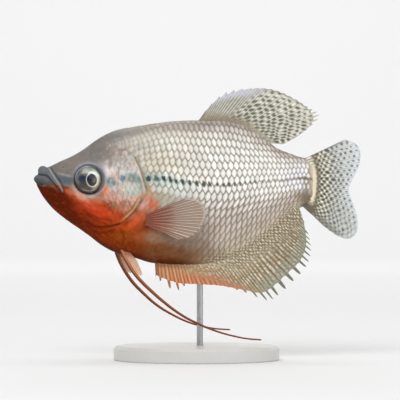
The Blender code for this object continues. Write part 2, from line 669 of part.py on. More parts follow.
def make_stand(finish, rod_finish, body_cutter, parent):
    """An oval base and one rod, which stands in a blind hole and ends under the body."""
    floor = -AXIS_HEIGHT
    profile = [(1.0, 0.0, 0.4), (1.0, 0.4, 0.0), (1.0, BASE_HEIGHT - BASE_BEVEL, 0.0), (1.0, BASE_HEIGHT, BASE_BEVEL)]
    points = []
    for _, height, inset in profile:
        for k in range(BASE_SIDES):
            turn = 2 * math.pi * k / BASE_SIDES
            x = BASE_X + (BASE_HALF_LENGTH - inset) * math.cos(turn)
            points.append((x, (BASE_HALF_DEPTH - inset) * math.sin(turn), floor + height))
    faces = [tuple(range(BASE_SIDES)), tuple(range(3 * BASE_SIDES, 4 * BASE_SIDES))]
    for i in range(len(profile) - 1):
        for k in range(BASE_SIDES):
            a, b = i * BASE_SIDES + k, i * BASE_SIDES + (k + 1) % BASE_SIDES
            faces.append((a, b, b + BASE_SIDES, a + BASE_SIDES))
    base = build_object("stand_base", points, faces, finish, parent)
    hole_floor = floor + BASE_HEIGHT - ROD_SINK
    hole_path = [(ROD_X, ROD_Y, hole_floor, ROD_RADIUS + GAP), (ROD_X, ROD_Y, floor + 9.0, ROD_RADIUS + GAP)]
    hole = tube("rod_hole", hole_path, None, parent, ROD_SIDES)
    cut(base, "DIFFERENCE", hole)
    bpy.data.objects.remove(hole)
    finish_shading(base, 30)
    rod_path = [(ROD_X, ROD_Y, hole_floor + GAP, ROD_RADIUS), (ROD_X, ROD_Y, -15.0, ROD_RADIUS)]
    rod = tube("stand_rod", rod_path, rod_finish, parent, ROD_SIDES)
    cut(rod, "DIFFERENCE", body_cutter)
    finish_shading(rod, 50)


def main():
    clear_scene()
    axis = bpy.data.objects.new("fish_axis", None)
    axis.location = (-TOTAL_LENGTH / 2 * MM, 0.0, AXIS_HEIGHT * MM)
    bpy.context.scene.collection.objects.link(axis)
    face_skin = material("face_skin", (0.62, 0.20, 0.08), 0.45)
    flank_skin = material("flank_skin", (0.68, 0.64, 0.58), 0.35)
    fin_skin = material("fin_skin", (0.52, 0.50, 0.38), 0.5)
    feeler_skin = material("feeler_skin", (0.48, 0.16, 0.06), 0.45)
    eye_gloss = material("eye_gloss", (0.05, 0.06, 0.07), 0.08)
    base_paint = material("base_paint", (0.80, 0.79, 0.76), 0.4)
    rod_steel = material("rod_steel", (0.62, 0.62, 0.62), 0.25, 1.0)

    make_jaws(face_skin, axis)
    make_head(face_skin, eye_gloss, axis)
    torso = body_length("torso", (gill_seam, HALF_GAP), (tail_seam, -HALF_GAP), TORSO_STATIONS, flank_skin, axis)
    stalk = body_length("tail_stalk", (tail_seam, HALF_GAP), (tail_root, -HALF_GAP), STALK_STATIONS, flank_skin, axis)
    finish_shading(torso)
    finish_shading(stalk)

    body_cutter = body_length("body_cutter", BODY_START, BODY_END, 40, None, axis, grow=GAP)
    dorsal = fin(
        "dorsal_fin", DORSAL_RAYS, [1, 1, 1, 2, 2, 2, 2, 2, 2, 1], fin_skin, axis, in_mid_plane,
        seat=dorsal_seat, rows=5, scallop=0.05, move_root=root_beside(back, 1),
    )
    anal = fin(
        "anal_fin", ANAL_RAYS, [3, 3, 3, 3, 3, 3, 3, 3, 3, 3, 3, 2], fin_skin, axis, in_mid_plane,
        seat=anal_seat, rows=4, scallop=0.06, foot=0.25, move_root=root_beside(belly, -1),
    )
    tail = fin(
        "tail_fin", TAIL_RAYS, [1, 2, 2, 1, 1, 1, 1, 1, 1, 2, 2, 1, 1, 1, 1], fin_skin, axis, in_mid_plane,
        rows=4, root_half=0.75,
    )
    for made in (dorsal, anal, tail):
        finish_shading(made, 30)
    make_pelvic("left", LEFT_FEELER, LEFT_VANE, feeler_skin, body_cutter, axis)
    make_pelvic("right", RIGHT_FEELER, RIGHT_VANE, feeler_skin, body_cutter, axis)
    make_pectoral("left", -1, fin_skin, body_cutter, axis)
    make_pectoral("right", 1, fin_skin, body_cutter, axis)
    make_stand(base_paint, rod_steel, body_cutter, axis)
    bpy.data.objects.remove(body_cutter)


main()
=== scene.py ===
# Pearl gourami on its stand: skin, scales, eyes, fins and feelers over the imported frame.
# Lengths are millimetres in the fish's own frame: x back from the snout, h over its axis, y across.
import math
import bpy
import numpy as np
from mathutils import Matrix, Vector


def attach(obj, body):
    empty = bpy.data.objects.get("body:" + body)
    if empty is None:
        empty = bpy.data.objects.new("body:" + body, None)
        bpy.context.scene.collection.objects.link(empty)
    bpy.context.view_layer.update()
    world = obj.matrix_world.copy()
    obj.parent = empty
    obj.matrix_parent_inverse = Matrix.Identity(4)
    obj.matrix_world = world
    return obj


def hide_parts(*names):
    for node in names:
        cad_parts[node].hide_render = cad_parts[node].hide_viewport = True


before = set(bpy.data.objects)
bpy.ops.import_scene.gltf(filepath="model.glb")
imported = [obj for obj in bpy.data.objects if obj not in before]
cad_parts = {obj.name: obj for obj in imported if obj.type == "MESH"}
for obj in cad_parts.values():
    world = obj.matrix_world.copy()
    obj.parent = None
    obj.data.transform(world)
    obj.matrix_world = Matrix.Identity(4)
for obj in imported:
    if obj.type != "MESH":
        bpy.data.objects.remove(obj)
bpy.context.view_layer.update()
scene = bpy.context.scene
mm = 0.001
axisHeight, noseToMiddle = 63.0, 57.25
print("frame loaded")


# small helpers

def smoothCurve(points):
    xs = np.array([p[0] for p in points], float)
    ys = np.array([p[1] for p in points], float)
    rise = np.diff(ys) / np.diff(xs)
    slopes = np.concatenate([rise[:1], rise])
    total = rise[:-1] + rise[1:]
    both = rise[:-1] * rise[1:]
    slopes[1:-1] = np.where(both > 0, 2 * both / np.where(total == 0, 1, total), 0)

    def value(x):
        x = np.clip(np.asarray(x, float), xs[0], xs[-1])
        i = np.clip(np.searchsorted(xs, x, side="right") - 1, 0, len(xs) - 2)
        step = xs[i + 1] - xs[i]
        t = (x - xs[i]) / step
        low = (1 + 2 * t) * (1 - t) ** 2 * ys[i] + t * (1 - t) ** 2 * step * slopes[i]
        return low + t * t * (3 - 2 * t) * ys[i + 1] + t * t * (t - 1) * step * slopes[i + 1]

    return value


def along(rows, u):
    # a smooth curve through every row, u from 0 to 1
    rows = np.asarray(rows, float)
    place = np.clip(np.asarray(u, float), 0, 1) * (len(rows) - 1)
    i = np.minimum(place.astype(int), len(rows) - 2)
    t = (place - i)[..., None]
    a, b, c, d = rows[np.maximum(i - 1, 0)], rows[i], rows[i + 1], rows[np.minimum(i + 2, len(rows) - 1)]
    return b + 0.5 * t * (c - a + t * (2 * a - 5 * b + 4 * c - d + t * (3 * (b - c) + d - a)))


def fade(low, high, value):
    t = np.clip((np.asarray(value, float) - low) / (high - low), 0, 1)
    return t * t * (3 - 2 * t)


def hump(value, width):
    return np.exp(-(np.asarray(value, float) / width) ** 2)


def fromWhole(value):
    # distance to the nearest whole number
    return np.abs(value - np.round(value))


def rgb(*parts):
    return np.array(parts, float) / 255


def lay(colour, new, mask):
    colour += (np.asarray(new) - colour) * np.asarray(mask)[..., None]


def plain(places, *shade):
    # one colour for every point
    return np.tile(rgb(*shade), (len(places), 1))


def layAll(colour, marks):
    # each mark is a colour and how strongly it covers each point
    for shade, mask in marks:
        lay(colour, rgb(*shade), mask)


def grain(x, h, size, seed=0):
    # smooth noise from 0 to 1, with lumps about this size
    x, h = np.asarray(x) / size, np.asarray(h) / size
    i, j = np.floor(x), np.floor(h)
    tx, th = fade(0, 1, x - i), fade(0, 1, h - j)

    def corner(a, b):
        n = np.sin((i + a) * 127.1 + (j + b) * 311.7 + seed * 74.7) * 43758.5453
        return n - np.floor(n)

    top = corner(0, 0) * (1 - tx) + corner(1, 0) * tx
    return top * (1 - th) + (corner(0, 1) * (1 - tx) + corner(1, 1) * tx) * th


def smoothLine(points, count=36):
    return along(points, np.linspace(0, 1, count))


def lineSide(line, x, h):
    # distance to a line, its sign (+ behind the line as it runs down the fish) and the share along it
    line = np.asarray(line, float)
    best = np.full(np.shape(x), 1e9)
    sign = np.ones(np.shape(x))
    share = np.zeros(np.shape(x))
    for k in range(len(line) - 1):
        (ax, ah), (bx, bh) = line[k], line[k + 1]
        dx, dh = bx - ax, bh - ah
        t = np.clip(((x - ax) * dx + (h - ah) * dh) / (dx * dx + dh * dh), 0, 1)
        gap = np.hypot(x - ax - t * dx, h - ah - t * dh)
        near = gap < best
        best = np.where(near, gap, best)
        sign = np.where(near, np.sign(-(x - ax) * dh + (h - ah) * dx + 1e-12), sign)
        share = np.where(near, (k + t) / (len(line) - 1), share)
    return best, sign, share


def toWorld(points):
    return (np.asarray(points, float) + (-noseToMiddle, 0, axisHeight)) * mm


def linear(colour):
    colour = np.clip(colour, 0, 1)
    return np.where(colour <= 0.04045, colour / 12.92, ((colour + 0.055) / 1.055) ** 2.4)


def makePiece(name, points, faces, material, paint=None):
    mesh = bpy.data.meshes.new(name)
    mesh.from_pydata(toWorld(points).tolist(), [], [list(f) for f in faces])
    made = bpy.data.objects.new(name, mesh)
    scene.collection.objects.link(made)
    dress(made, material, paint)
    return made


def dress(made, material, paint):
    mesh = made.data
    mesh.materials.clear()
    mesh.materials.append(material)
    if paint is not None:
        layer = mesh.color_attributes.new("paint", "FLOAT_COLOR", "POINT")
        full = np.concatenate([linear(paint), np.ones((len(paint), 1))], axis=1)
        layer.data.foreach_set("color", full.astype(np.float32).ravel())
    mesh.shade_smooth()


def gridFaces(rows, columns, start=0, closed=False):
    i, j = np.meshgrid(np.arange(rows - 1), np.arange(columns if closed else columns - 1), indexing="ij")
    a = start + i * columns + j
    b = start + i * columns + (j + 1) % columns
    return np.stack([a, b, b + columns, a + columns], axis=-1).reshape(-1, 4)


def finishPiece(made, slotName, *nodes):
    if nodes:
        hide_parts(*nodes)
    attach(made, "root")


# materials

bumpDepth, cellDepth = 0.00008, 0.0002  # metres


def paintMaterial(name, look):
    material = bpy.data.materials.new(name)
    material.use_nodes = True
    nodes, links = material.node_tree.nodes, material.node_tree.links
    shader = nodes["Principled BSDF"]
    shader.inputs["Metallic"].default_value = look.get("metallic", 0.0)
    shader.inputs["Specular IOR Level"].default_value = look.get("specular", 0.5)
    shader.inputs["Coat Weight"].default_value = look.get("coat", 0.0)
    shader.inputs["Coat Roughness"].default_value = look.get("coatRoughness", 0.1)
    place = nodes.new("ShaderNodeTexCoord")
    mottle = nodes.new("ShaderNodeTexNoise")
    mottle.inputs["Scale"].default_value = look.get("mottleScale", 900.0)
    mottle.inputs["Detail"].default_value = 4.0
    links.new(place.outputs["Object"], mottle.inputs["Vector"])

    def fromMottle(low, high, socket):
        # the noise itself stays between about 0.3 and 0.7
        reach = nodes.new("ShaderNodeMapRange")
        reach.inputs["From Min"].default_value, reach.inputs["From Max"].default_value = 0.3, 0.7
        reach.inputs["To Min"].default_value, reach.inputs["To Max"].default_value = low, high
        links.new(mottle.outputs["Fac"], reach.inputs["Value"])
        links.new(reach.outputs["Result"], socket)

    mix = nodes.new("ShaderNodeVectorMath")
    mix.operation = "SCALE"
    if "colour" in look:
        mix.inputs[0].default_value = tuple(linear(rgb(*look["colour"])))
    else:
        paint = nodes.new("ShaderNodeVertexColor")
        paint.layer_name = "paint"
        links.new(paint.outputs["Color"], mix.inputs[0])
    spread = look.get("mottle", 0.08)
    fromMottle(1 - spread, 1 + spread, mix.inputs["Scale"])
    links.new(mix.outputs[0], shader.inputs["Base Color"])
    fromMottle(*look["roughness"], shader.inputs["Roughness"])
    fine = nodes.new("ShaderNodeTexNoise")
    fine.inputs["Scale"].default_value = look.get("bumpScale", 3500.0)
    fine.inputs["Detail"].default_value = 3.0
    stretch = nodes.new("ShaderNodeMapping")
    stretch.inputs["Scale"].default_value = look.get("stretch", (1.0, 1.0, 1.0))
    links.new(place.outputs["Object"], stretch.inputs["Vector"])
    links.new(stretch.outputs["Vector"], fine.inputs["Vector"])
    bump = nodes.new("ShaderNodeBump")
    bump.inputs["Strength"].default_value = look.get("bump", 0.25)
    bump.inputs["Distance"].default_value = bumpDepth
    links.new(fine.outputs["Fac"], bump.inputs["Height"])
    if look.get("cells"):
        cells = nodes.new("ShaderNodeTexVoronoi")
        cells.inputs["Scale"].default_value = look["cells"]
        links.new(place.outputs["Object"], cells.inputs["Vector"])
        scaly = nodes.new("ShaderNodeBump")
        scaly.inputs["Strength"].default_value = look.get("cellBump", 0.3)
        scaly.inputs["Distance"].default_value = cellDepth
        links.new(cells.outputs["Distance"], scaly.inputs["Height"])
        links.new(bump.outputs["Normal"], scaly.inputs["Normal"])
        links.new(scaly.outputs["Normal"], shader.inputs["Normal"])
    else:
        links.new(bump.outputs["Normal"], shader.inputs["Normal"])
    return material


# the body's form

back = smoothCurve([
    (1.2, 1.9), (3.2, 3.5), (5.6, 4.6), (9.5, 6.5), (13.7, 8.4), (17.9, 10.9), (22.1, 14.0), (26.3, 16.5),
    (30.5, 17.9), (36.8, 19.0), (43.1, 20.0), (49.4, 20.7), (57.8, 21.0), (65.5, 21.0), (72.5, 19.7),
    (76.7, 17.8), (80.9, 15.0), (84.7, 11.7), (87.4, 10.3), (90.2, 9.35), (92.9, 8.3), (94.9, 7.9),
    (98.0, 7.8),
])
belly = smoothCurve([
    (1.2, -1.7), (3.2, -5.4), (5.3, -8.2), (7.4, -10.5), (11.6, -13.9), (15.8, -16.8), (20.0, -19.8),
    (24.2, -23.0), (28.4, -25.2), (35.7, -27.3), (42.0, -29.2), (48.7, -29.9), (55.0, -30.1), (60.6, -29.7),
    (69.7, -27.6), (74.2, -25.5), (80.9, -20.8), (87.5, -14.9), (92.1, -10.6), (94.8, -9.3), (98.0, -8.8),
])
halfWidth = smoothCurve([
    (1.2, 1.4), (4.0, 2.7), (8.0, 3.9), (13.0, 5.0), (19.5, 6.2), (27.0, 7.3), (35.0, 8.0), (45.0, 8.1),
    (55.0, 7.6), (65.0, 6.5), (75.0, 5.0), (84.0, 3.5), (91.0, 2.4), (98.0, 1.5),
])
widestHeight = smoothCurve([
    (1.2, 0.3), (12.0, 0.0), (25.0, -1.5), (40.0, -4.0), (58.0, -3.0), (80.0, -0.5), (98.0, -0.5),
])
backRoundness = smoothCurve([(1.2, 2.2), (25.0, 2.15), (45.0, 1.95), (98.0, 1.8)])
bellyRoundness = smoothCurve([(1.2, 2.1), (25.0, 1.9), (42.0, 1.85), (60.0, 1.7), (98.0, 1.75)])
lateralLine = smoothCurve([
    (20.0, 0.4), (40.3, 0.5), (45.9, 0.3), (52.5, -0.8), (59.9, -1.45), (66.5, -1.8), (72.5, -1.3),
    (77.7, -0.8),
    (83.0, -0.35), (88.2, -0.1), (91.7, 0.4), (94.5, 0.6), (98.0, 0.3),
])
gillEdge = smoothLine([
    (33.6, 10.6), (35.0, 8.4), (36.3, 6.0), (37.8, 2.4), (39.1, -1.9), (39.4, -4.4), (37.6, -7.6),
    (35.6, -10.7),
    (33.1, -13.2), (30.6, -15.1), (26.9, -16.0), (22.8, -16.3),
])
cheekEdge = smoothLine([(30.3, 4.4), (30.0, -1.0), (29.4, -6.0), (28.2, -9.5)], 14)
throatFold = smoothLine([(19.0, -14.6), (21.4, -16.0), (24.4, -16.4), (27.6, -16.0), (30.4, -15.3)], 20)
cheekFolds = [
    smoothLine([(18.0, -10.6), (21.3, -12.5), (24.6, -13.6), (27.9, -14.1)], 14),
    smoothLine([(19.6, -16.8), (22.8, -18.2), (25.6, -18.2), (28.6, -17.4)], 14),
    smoothLine([(30.8, -17.0), (32.0, -19.6), (31.4, -22.6)], 10),
]
lipRidge = smoothLine([(5.8, 4.1), (7.5, 1.3), (9.5, -1.7), (10.7, -4.1)], 14)
lipGroove = smoothLine([(6.3, 4.2), (8.5, 1.2), (10.3, -1.4), (11.1, -3.5)], 14)
mouthSlit = smoothLine([(1.5, 2.0), (3.2, 1.75), (5.1, 1.45), (7.0, -0.6), (8.9, -2.8), (9.8, -4.0)], 20)
cornerFold = [(10.9, -4.1), (11.0, -6.8)]
upperLip = [(3.4, 3.3, 1.75), (5.0, 2.2, 1.5), (6.7, 0.3, 1.15), (8.3, -1.6, 0.9), (9.7, -3.2, 0.6)]
lowerLip = [(1.55, 0.35, 1.35), (3.1, -0.45, 1.35), (5.0, -1.35, 1.2), (7.0, -2.4, 0.95), (8.9, -3.6, 0.6)]
eyeX, eyeH = 19.8, 0.1
nostrils = [(10.7, 4.4, 0.42, 0.42), (13.2, 5.7, 0.24, 0.28)]  # x, h, painted radius, carved radius
snoutX = 1.2
sheetLow, sheetHigh, sheetStep = -36.0, 32.0, 0.25
tailRootArc = smoothLine([(96.5, 7.4), (97.1, 5.6), (97.5, 2.5), (97.7, 0.0), (97.9, -3.0), (98.0, -5.6)], 14)


def section(x, angle, grow=0.0):
    middle = widestHeight(x)
    upper = angle >= 0
    height = np.where(upper, back(x) - middle, middle - belly(x)) + grow
    power = 2 / np.where(upper, backRoundness(x), bellyRoundness(x))
    y = (halfWidth(x) + grow) * np.maximum(np.cos(angle), 0) ** power
    return y, middle + np.sign(angle) * height * np.abs(np.sin(angle)) ** power


def flankY(x, h):
    middle = widestHeight(x)
    upper = h >= middle
    reach = np.where(upper, back(x) - middle, middle - belly(x))
    power = np.where(upper, backRoundness(x), bellyRoundness(x))
    return halfWidth(x) * np.maximum(1 - np.minimum(np.abs(h - middle) / reach, 1) ** power, 0) ** (1 / power)


def sideShare(x, h):
    # 0 on the belly's edge, 1 on the back's
    return (h - belly(x)) / (back(x) - belly(x))


def sheetTable():
    # the body's side laid out flat: x against the distance round it from the lateral line
    xs = np.arange(snoutX, 98.6, sheetStep)
    vs = np.arange(sheetLow, sheetHigh + 0.01, sheetStep)
    angles = np.linspace(-math.pi / 2, math.pi / 2, 241)
    ys, hs = np.zeros((len(xs), len(vs))), np.zeros((len(xs), len(vs)))
    for i, x in enumerate(xs):
        y, h = section(np.full_like(angles, x), angles)
        way = np.concatenate([[0], np.cumsum(np.hypot(np.diff(y), np.diff(h)))])
        way -= np.interp(lateralLine(x), h, way)
        top, bottom = way[-1], way[0]
        folded = np.where(vs > top, 2 * top - vs, np.where(vs < bottom, 2 * bottom - vs, vs))
        ys[i] = np.interp(folded, way, y) * np.where((vs > top) | (vs < bottom), -1, 1)
        hs[i] = np.interp(folded, way, h)
    return xs, vs, ys, hs


sheetX, sheetV, sheetY, sheetH = sheetTable()


def onSheet(x, v):
    i = np.clip((x - sheetX[0]) / sheetStep, 0, len(sheetX) - 1.001)
    j = np.clip((v - sheetV[0]) / sheetStep, 0, len(sheetV) - 1.001)
    a, b = i.astype(int), j.astype(int)
    s, t = i - a, j - b

    def mix(grid):
        near = grid[a, b] * (1 - s) + grid[a + 1, b] * s
        return near * (1 - t) + (grid[a, b + 1] * (1 - s) + grid[a + 1, b + 1] * s) * t

    return np.stack([x, mix(sheetY), mix(sheetH)], axis=-1)


def sheetNormal(x, v):
    e = 0.4
    ahead = onSheet(x + e, v) - onSheet(x - e, v)
    upward = onSheet(x, v + e) - onSheet(x, v - e)
    n = np.cross(upward, ahead)
    return n / np.linalg.norm(n, axis=-1, keepdims=True)


# the markings, shared by the skin and the scales

# below this line the throat, breast and belly are red and brown
redEdge = smoothCurve([
    (0, -1.0), (2.5, -1.4), (5.6, -2.2), (8.8, -2.3), (12, -2.6), (16, -4.4), (20, -5.9), (24.5, -3.6),
    (28, -5.0),
    (33, -8.2), (38, -9.6), (41, -12.4), (47, -17.4), (53, -21.4), (62, -26.4), (74, -26.0), (86, -16.0),
    (98, -5.4),
])
lowShades = [  # x, then red, green and blue
    (0, 88, 27, 2), (12, 90, 27, 2), (18, 102, 31, 2), (26, 128, 44, 2), (34, 126, 46, 8), (41, 112, 46, 16),
    (50, 98, 52, 22), (58, 142, 108, 82), (72, 158, 136, 114), (88, 134, 118, 96), (98, 124, 108, 88),
]
highShades = [
    (0, 108, 108, 110), (12, 126, 120, 116), (22, 134, 130, 126), (30, 176, 168, 162), (40, 186, 180, 168),
    (46, 190, 186, 174), (52, 208, 203, 194), (70, 238, 234, 228), (98, 220, 216, 216),
]
# airbrush strokes: x, h, half length, half height, turn in degrees, colour, strength
strokes = [
    (25.0, 15.0, 18.0, 4.2, 22, (124, 119, 114), 0.95),
    (50.0, 19.4, 24.0, 3.0, 2, (144, 135, 125), 0.8),
    (80.0, 14.0, 12.0, 2.2, -38, (170, 158, 146), 0.6),
    (15.5, 5.6, 7.0, 3.2, 26, (132, 123, 117), 0.9),
    (24.0, 9.8, 5.5, 3.6, 28, (124, 119, 113), 0.8),
    (31.0, 9.4, 3.2, 3.0, 30, (162, 152, 144), 0.7),
    (36.5, 6.5, 3.2, 4.2, 0, (205, 196, 182), 0.55),
    (30.2, 5.2, 3.6, 3.0, 10, (200, 194, 190), 0.75),
    (28.6, 2.4, 4.4, 2.6, 0, (222, 214, 208), 0.9),
    (25.4, 4.4, 2.0, 2.6, 40, (190, 180, 172), 0.7),
    (12.2, 2.6, 4.0, 2.0, 0, (130, 119, 112), 0.8),
    (11.2, 0.0, 4.2, 1.6, -8, (92, 105, 111), 1.0),
    (11.6, 1.7, 3.0, 0.5, -14, (160, 162, 164), 0.6),
    (6.0, -1.6, 3.4, 1.0, -14, (84, 66, 56), 0.7),
    (23.2, -10.7, 9.6, 4.2, -26, (192, 64, 30), 1.0),
    (14.8, -5.6, 4.2, 1.6, -36, (198, 92, 62), 0.6),
    (18.8, -7.8, 5.0, 1.3, -30, (214, 100, 68), 0.6),
    (20.6, -13.6, 4.4, 1.4, -28, (132, 44, 14), 0.7),
    (26.4, -11.6, 2.6, 1.6, -20, (214, 84, 48), 0.35),
    (30.0, -12.6, 5.6, 2.5, -20, (180, 60, 20), 0.85),
    (25.0, -17.4, 7.0, 2.6, -14, (128, 46, 6), 0.5),
    (31.6, -19.6, 3.4, 3.0, 0, (150, 78, 22), 0.7),
    (16.8, -5.2, 4.0, 1.6, -32, (216, 166, 146), 0.9),
    (21.6, -5.9, 3.0, 0.9, 6, (176, 150, 136), 0.8),
    (26.2, -4.4, 2.6, 3.0, 0, (210, 160, 142), 0.85),
    (31.2, -5.6, 5.2, 3.4, -8, (206, 160, 140), 0.85),
    (34.8, -8.4, 3.0, 2.6, 50, (196, 150, 126), 0.7),
    (33.6, -2.6, 5.4, 3.2, -8, (204, 204, 196), 0.9),
    (26.8, 0.3, 1.3, 1.5, 0, (138, 158, 156), 0.8),
    (29.8, 0.6, 1.3, 1.8, 0, (222, 212, 206), 0.7),
    (31.9, 0.6, 1.4, 1.5, 0, (118, 134, 154), 1.0),
    (35.3, 0.5, 2.1, 1.7, 0, (112, 148, 140), 1.0),
    (27.7, -0.5, 1.5, 1.7, 0, (88, 108, 116), 0.95),
    (26.8, -2.2, 1.1, 1.0, 0, (140, 162, 152), 0.7),
    (37.3, -0.2, 0.9, 1.3, 0, (92, 128, 122), 0.8),
    (26.2, 2.4, 1.4, 2.0, 10, (230, 224, 222), 0.8),
    (25.6, -3.4, 1.2, 1.8, 10, (222, 124, 90), 0.75),
    (18.2, -12.6, 3.6, 1.7, -34, (126, 42, 8), 0.7),
    (31.0, -9.6, 3.4, 1.9, -30, (206, 148, 122), 0.75),
    (34.2, -11.8, 2.6, 1.8, -40, (204, 132, 100), 0.75),
    (36.9, -6.6, 1.5, 2.4, -30, (232, 166, 136), 0.85),
    (33.2, -8.6, 1.4, 2.2, -10, (178, 118, 92), 0.6),
    (40.4, -13.4, 2.2, 1.4, 20, (196, 122, 96), 0.6),
    (37.2, 3.4, 1.6, 2.6, 10, (236, 240, 240), 0.7),
    (36.6, 8.4, 2.2, 1.8, 0, (226, 218, 208), 0.6),
    (46.0, -23.6, 8.0, 3.0, -8, (150, 88, 50), 0.5),
    (23.2, -6.9, 3.4, 1.6, -14, (194, 136, 116), 0.75),
    (28.0, -6.6, 1.6, 1.6, 0, (222, 184, 170), 0.5),
    (8.8, -2.6, 2.4, 1.6, -30, (150, 84, 56), 0.7),
    (31.0, 8.4, 1.7, 1.4, 0, (132, 118, 108), 0.8),
    (27.6, 5.8, 1.4, 1.4, 0, (168, 154, 144), 0.6),
    (40.6, -4.6, 1.3, 2.2, -10, (222, 150, 104), 0.8),
    (28.8, -23.6, 4.2, 1.4, -16, (96, 36, 12), 0.6),
    (38.8, -20.2, 4.8, 2.8, -10, (170, 96, 54), 0.7),
    (44.0, -17.6, 3.4, 2.6, -20, (168, 104, 68), 0.6),
    (47.2, 5.8, 7.4, 1.9, 0, (166, 158, 136), 0.6),
    (46.6, 1.4, 0.9, 1.6, 0, (232, 240, 236), 0.6),
    (35.4, 3.6, 2.6, 1.4, 0, (238, 234, 232), 0.7),
    (27.4, 8.6, 1.8, 1.8, 0, (142, 129, 118), 0.55),
    (40.4, 5.4, 3.0, 1.2, 0, (232, 224, 198), 0.5),
    (30.4, 8.0, 2.6, 1.6, 20, (206, 196, 188), 0.5),
    (33.8, -1.5, 1.2, 0.8, 0, (230, 236, 232), 0.7),
    (30.0, -1.0, 0.6, 5.0, 2, (216, 176, 166), 0.35),
    (28.2, 2.8, 0.9, 1.5, 0, (232, 226, 232), 0.7),
    (33.2, -3.2, 2.4, 1.6, -10, (196, 206, 190), 0.7),
    (32.0, -2.4, 1.0, 0.8, 40, (232, 176, 140), 0.7),
    (36.6, -4.6, 1.4, 1.8, 0, (176, 200, 186), 0.7),
    (34.4, -8.2, 3.0, 1.2, 50, (222, 176, 160), 0.6),
    (28.4, -9.0, 1.0, 1.5, 0, (120, 104, 62), 0.75),
    (40.5, -3.4, 1.0, 3.0, -6, (206, 158, 118), 0.7),
    (39.9, -8.4, 1.2, 2.6, -20, (212, 150, 134), 0.7),
    (41.9, -7.6, 1.3, 2.9, -16, (230, 84, 40), 1.0),
    (39.8, -6.0, 1.0, 1.8, -20, (214, 128, 92), 0.8),
    (44.0, -6.4, 1.5, 2.6, -10, (206, 174, 128), 0.7),
    (39.6, -3.0, 0.8, 2.0, 0, (200, 214, 206), 0.5),
    (38.4, -11.8, 4.4, 2.6, 36, (196, 112, 86), 0.8),
    (43.0, -13.4, 3.2, 3.6, 20, (160, 92, 58), 0.7),
    (36.5, -15.6, 4.2, 2.4, 30, (190, 82, 40), 0.7),
    (30.4, -16.4, 4.6, 1.3, -6, (196, 80, 36), 0.6),
    (44.0, -24.6, 9.0, 3.2, -8, (118, 56, 20), 0.7),
    (43.0, -20.4, 3.6, 2.2, -10, (140, 104, 82), 0.6),
    (50.6, -22.8, 6.4, 1.2, -6, (106, 74, 44), 0.7),
    (34.6, -25.4, 6.0, 1.8, -14, (112, 48, 20), 0.8),
    (43.2, 6.4, 5.2, 3.2, 0, (216, 208, 186), 0.6),
    (50.0, -2.6, 9.0, 2.6, -6, (202, 220, 212), 0.75),
    (45.6, -6.2, 5.0, 2.6, -6, (166, 160, 138), 0.8),
    (53.0, -19.0, 9.4, 5.4, -12, (126, 100, 80), 0.95),
    (12.8, -4.0, 2.8, 1.1, -36, (204, 112, 80), 0.7),
    (36.4, -13.9, 3.8, 1.1, 42, (216, 92, 52), 0.75),
    (38.8, -8.6, 1.5, 2.6, -34, (212, 156, 146), 0.7),
    (95.4, -3.4, 2.2, 2.8, 0, (196, 204, 232), 0.7),
    (68.0, -13.5, 20.0, 8.0, 16, (190, 178, 172), 0.75),
    (58.0, -18.5, 12.0, 5.0, 0, (160, 140, 124), 0.7),
    # painted shadow under the tail stalk
    (95.2, -6.4, 4.4, 2.8, 0, (120, 102, 80), 0.95),
    (93.6, 1.6, 7.0, 4.6, 0, (196, 192, 208), 0.8),
    (49.5, -25.6, 8.0, 2.2, -8, (122, 84, 58), 0.75),
    (56.0, -22.6, 6.0, 2.6, -4, (140, 116, 98), 0.6),
    (24.5, -23.0, 4.6, 1.2, -29, (82, 32, 8), 0.7),
    (30.8, 8.6, 1.3, 1.6, 0, (150, 140, 134), 0.6),
    (16.8, -10.4, 3.4, 1.5, -32, (150, 48, 22), 0.7),
    (45.0, -1.7, 2.8, 0.9, 0, (132, 150, 142), 0.5),
    (37.3, -6.4, 1.2, 1.4, 0, (236, 190, 166), 0.6),
    (33.4, -8.5, 1.8, 1.6, -20, (164, 100, 72), 0.7),
    (43.2, -9.2, 1.5, 2.0, -20, (206, 92, 56), 0.7),
    (34.0, 18.5, 5.0, 2.6, 25, (152, 146, 140), 0.5),
    (20.9, -5.7, 1.7, 0.6, -4, (150, 160, 160), 0.6),
    (22.8, -5.4, 1.5, 0.6, 10, (128, 148, 148), 0.7),
    (43.6, -19.6, 4.4, 2.8, -12, (160, 126, 106), 0.55),
]
# the darkening towards the back and the belly is partly the fish's own colour and partly painted shade
flankShades = [  # share of the way up the side, then red, green and blue
    (0.0, 140, 118, 96), (0.14, 150, 131, 115), (0.34, 182, 170, 161), (0.46, 226, 219, 215),
    (0.62, 232, 228, 220), (0.82, 216, 210, 201), (0.93, 176, 166, 156), (1.0, 130, 120, 110),
]
# lines along the gill cover's edge: colour, strength, whether it lies before the edge, distance from it
# and width, then the shares of the way down between which it comes and goes
gillLines = [
    ((128, 112, 96), 0.7, False, 0.5, 0.35, (0.06, 0.24), (0.5, 0.4)),
    ((156, 86, 64), 0.6, False, 0.5, 0.35, (0.45, 0.55), (0.95, 0.8)),
    ((228, 212, 190), 0.9, True, 0.22, 0.33, (0.1, 0.24), (0.52, 0.44)),
    ((190, 152, 106), 0.85, True, 0.45, 0.5, (0.44, 0.52), (0.86, 0.7)),
    ((120, 92, 58), 0.7, True, 1.15, 0.22, (0.46, 0.56), (0.8, 0.7)),
    ((112, 62, 40), 0.7, False, 0.1, 0.2, (0.46, 0.56), (0.9, 0.75)),
]
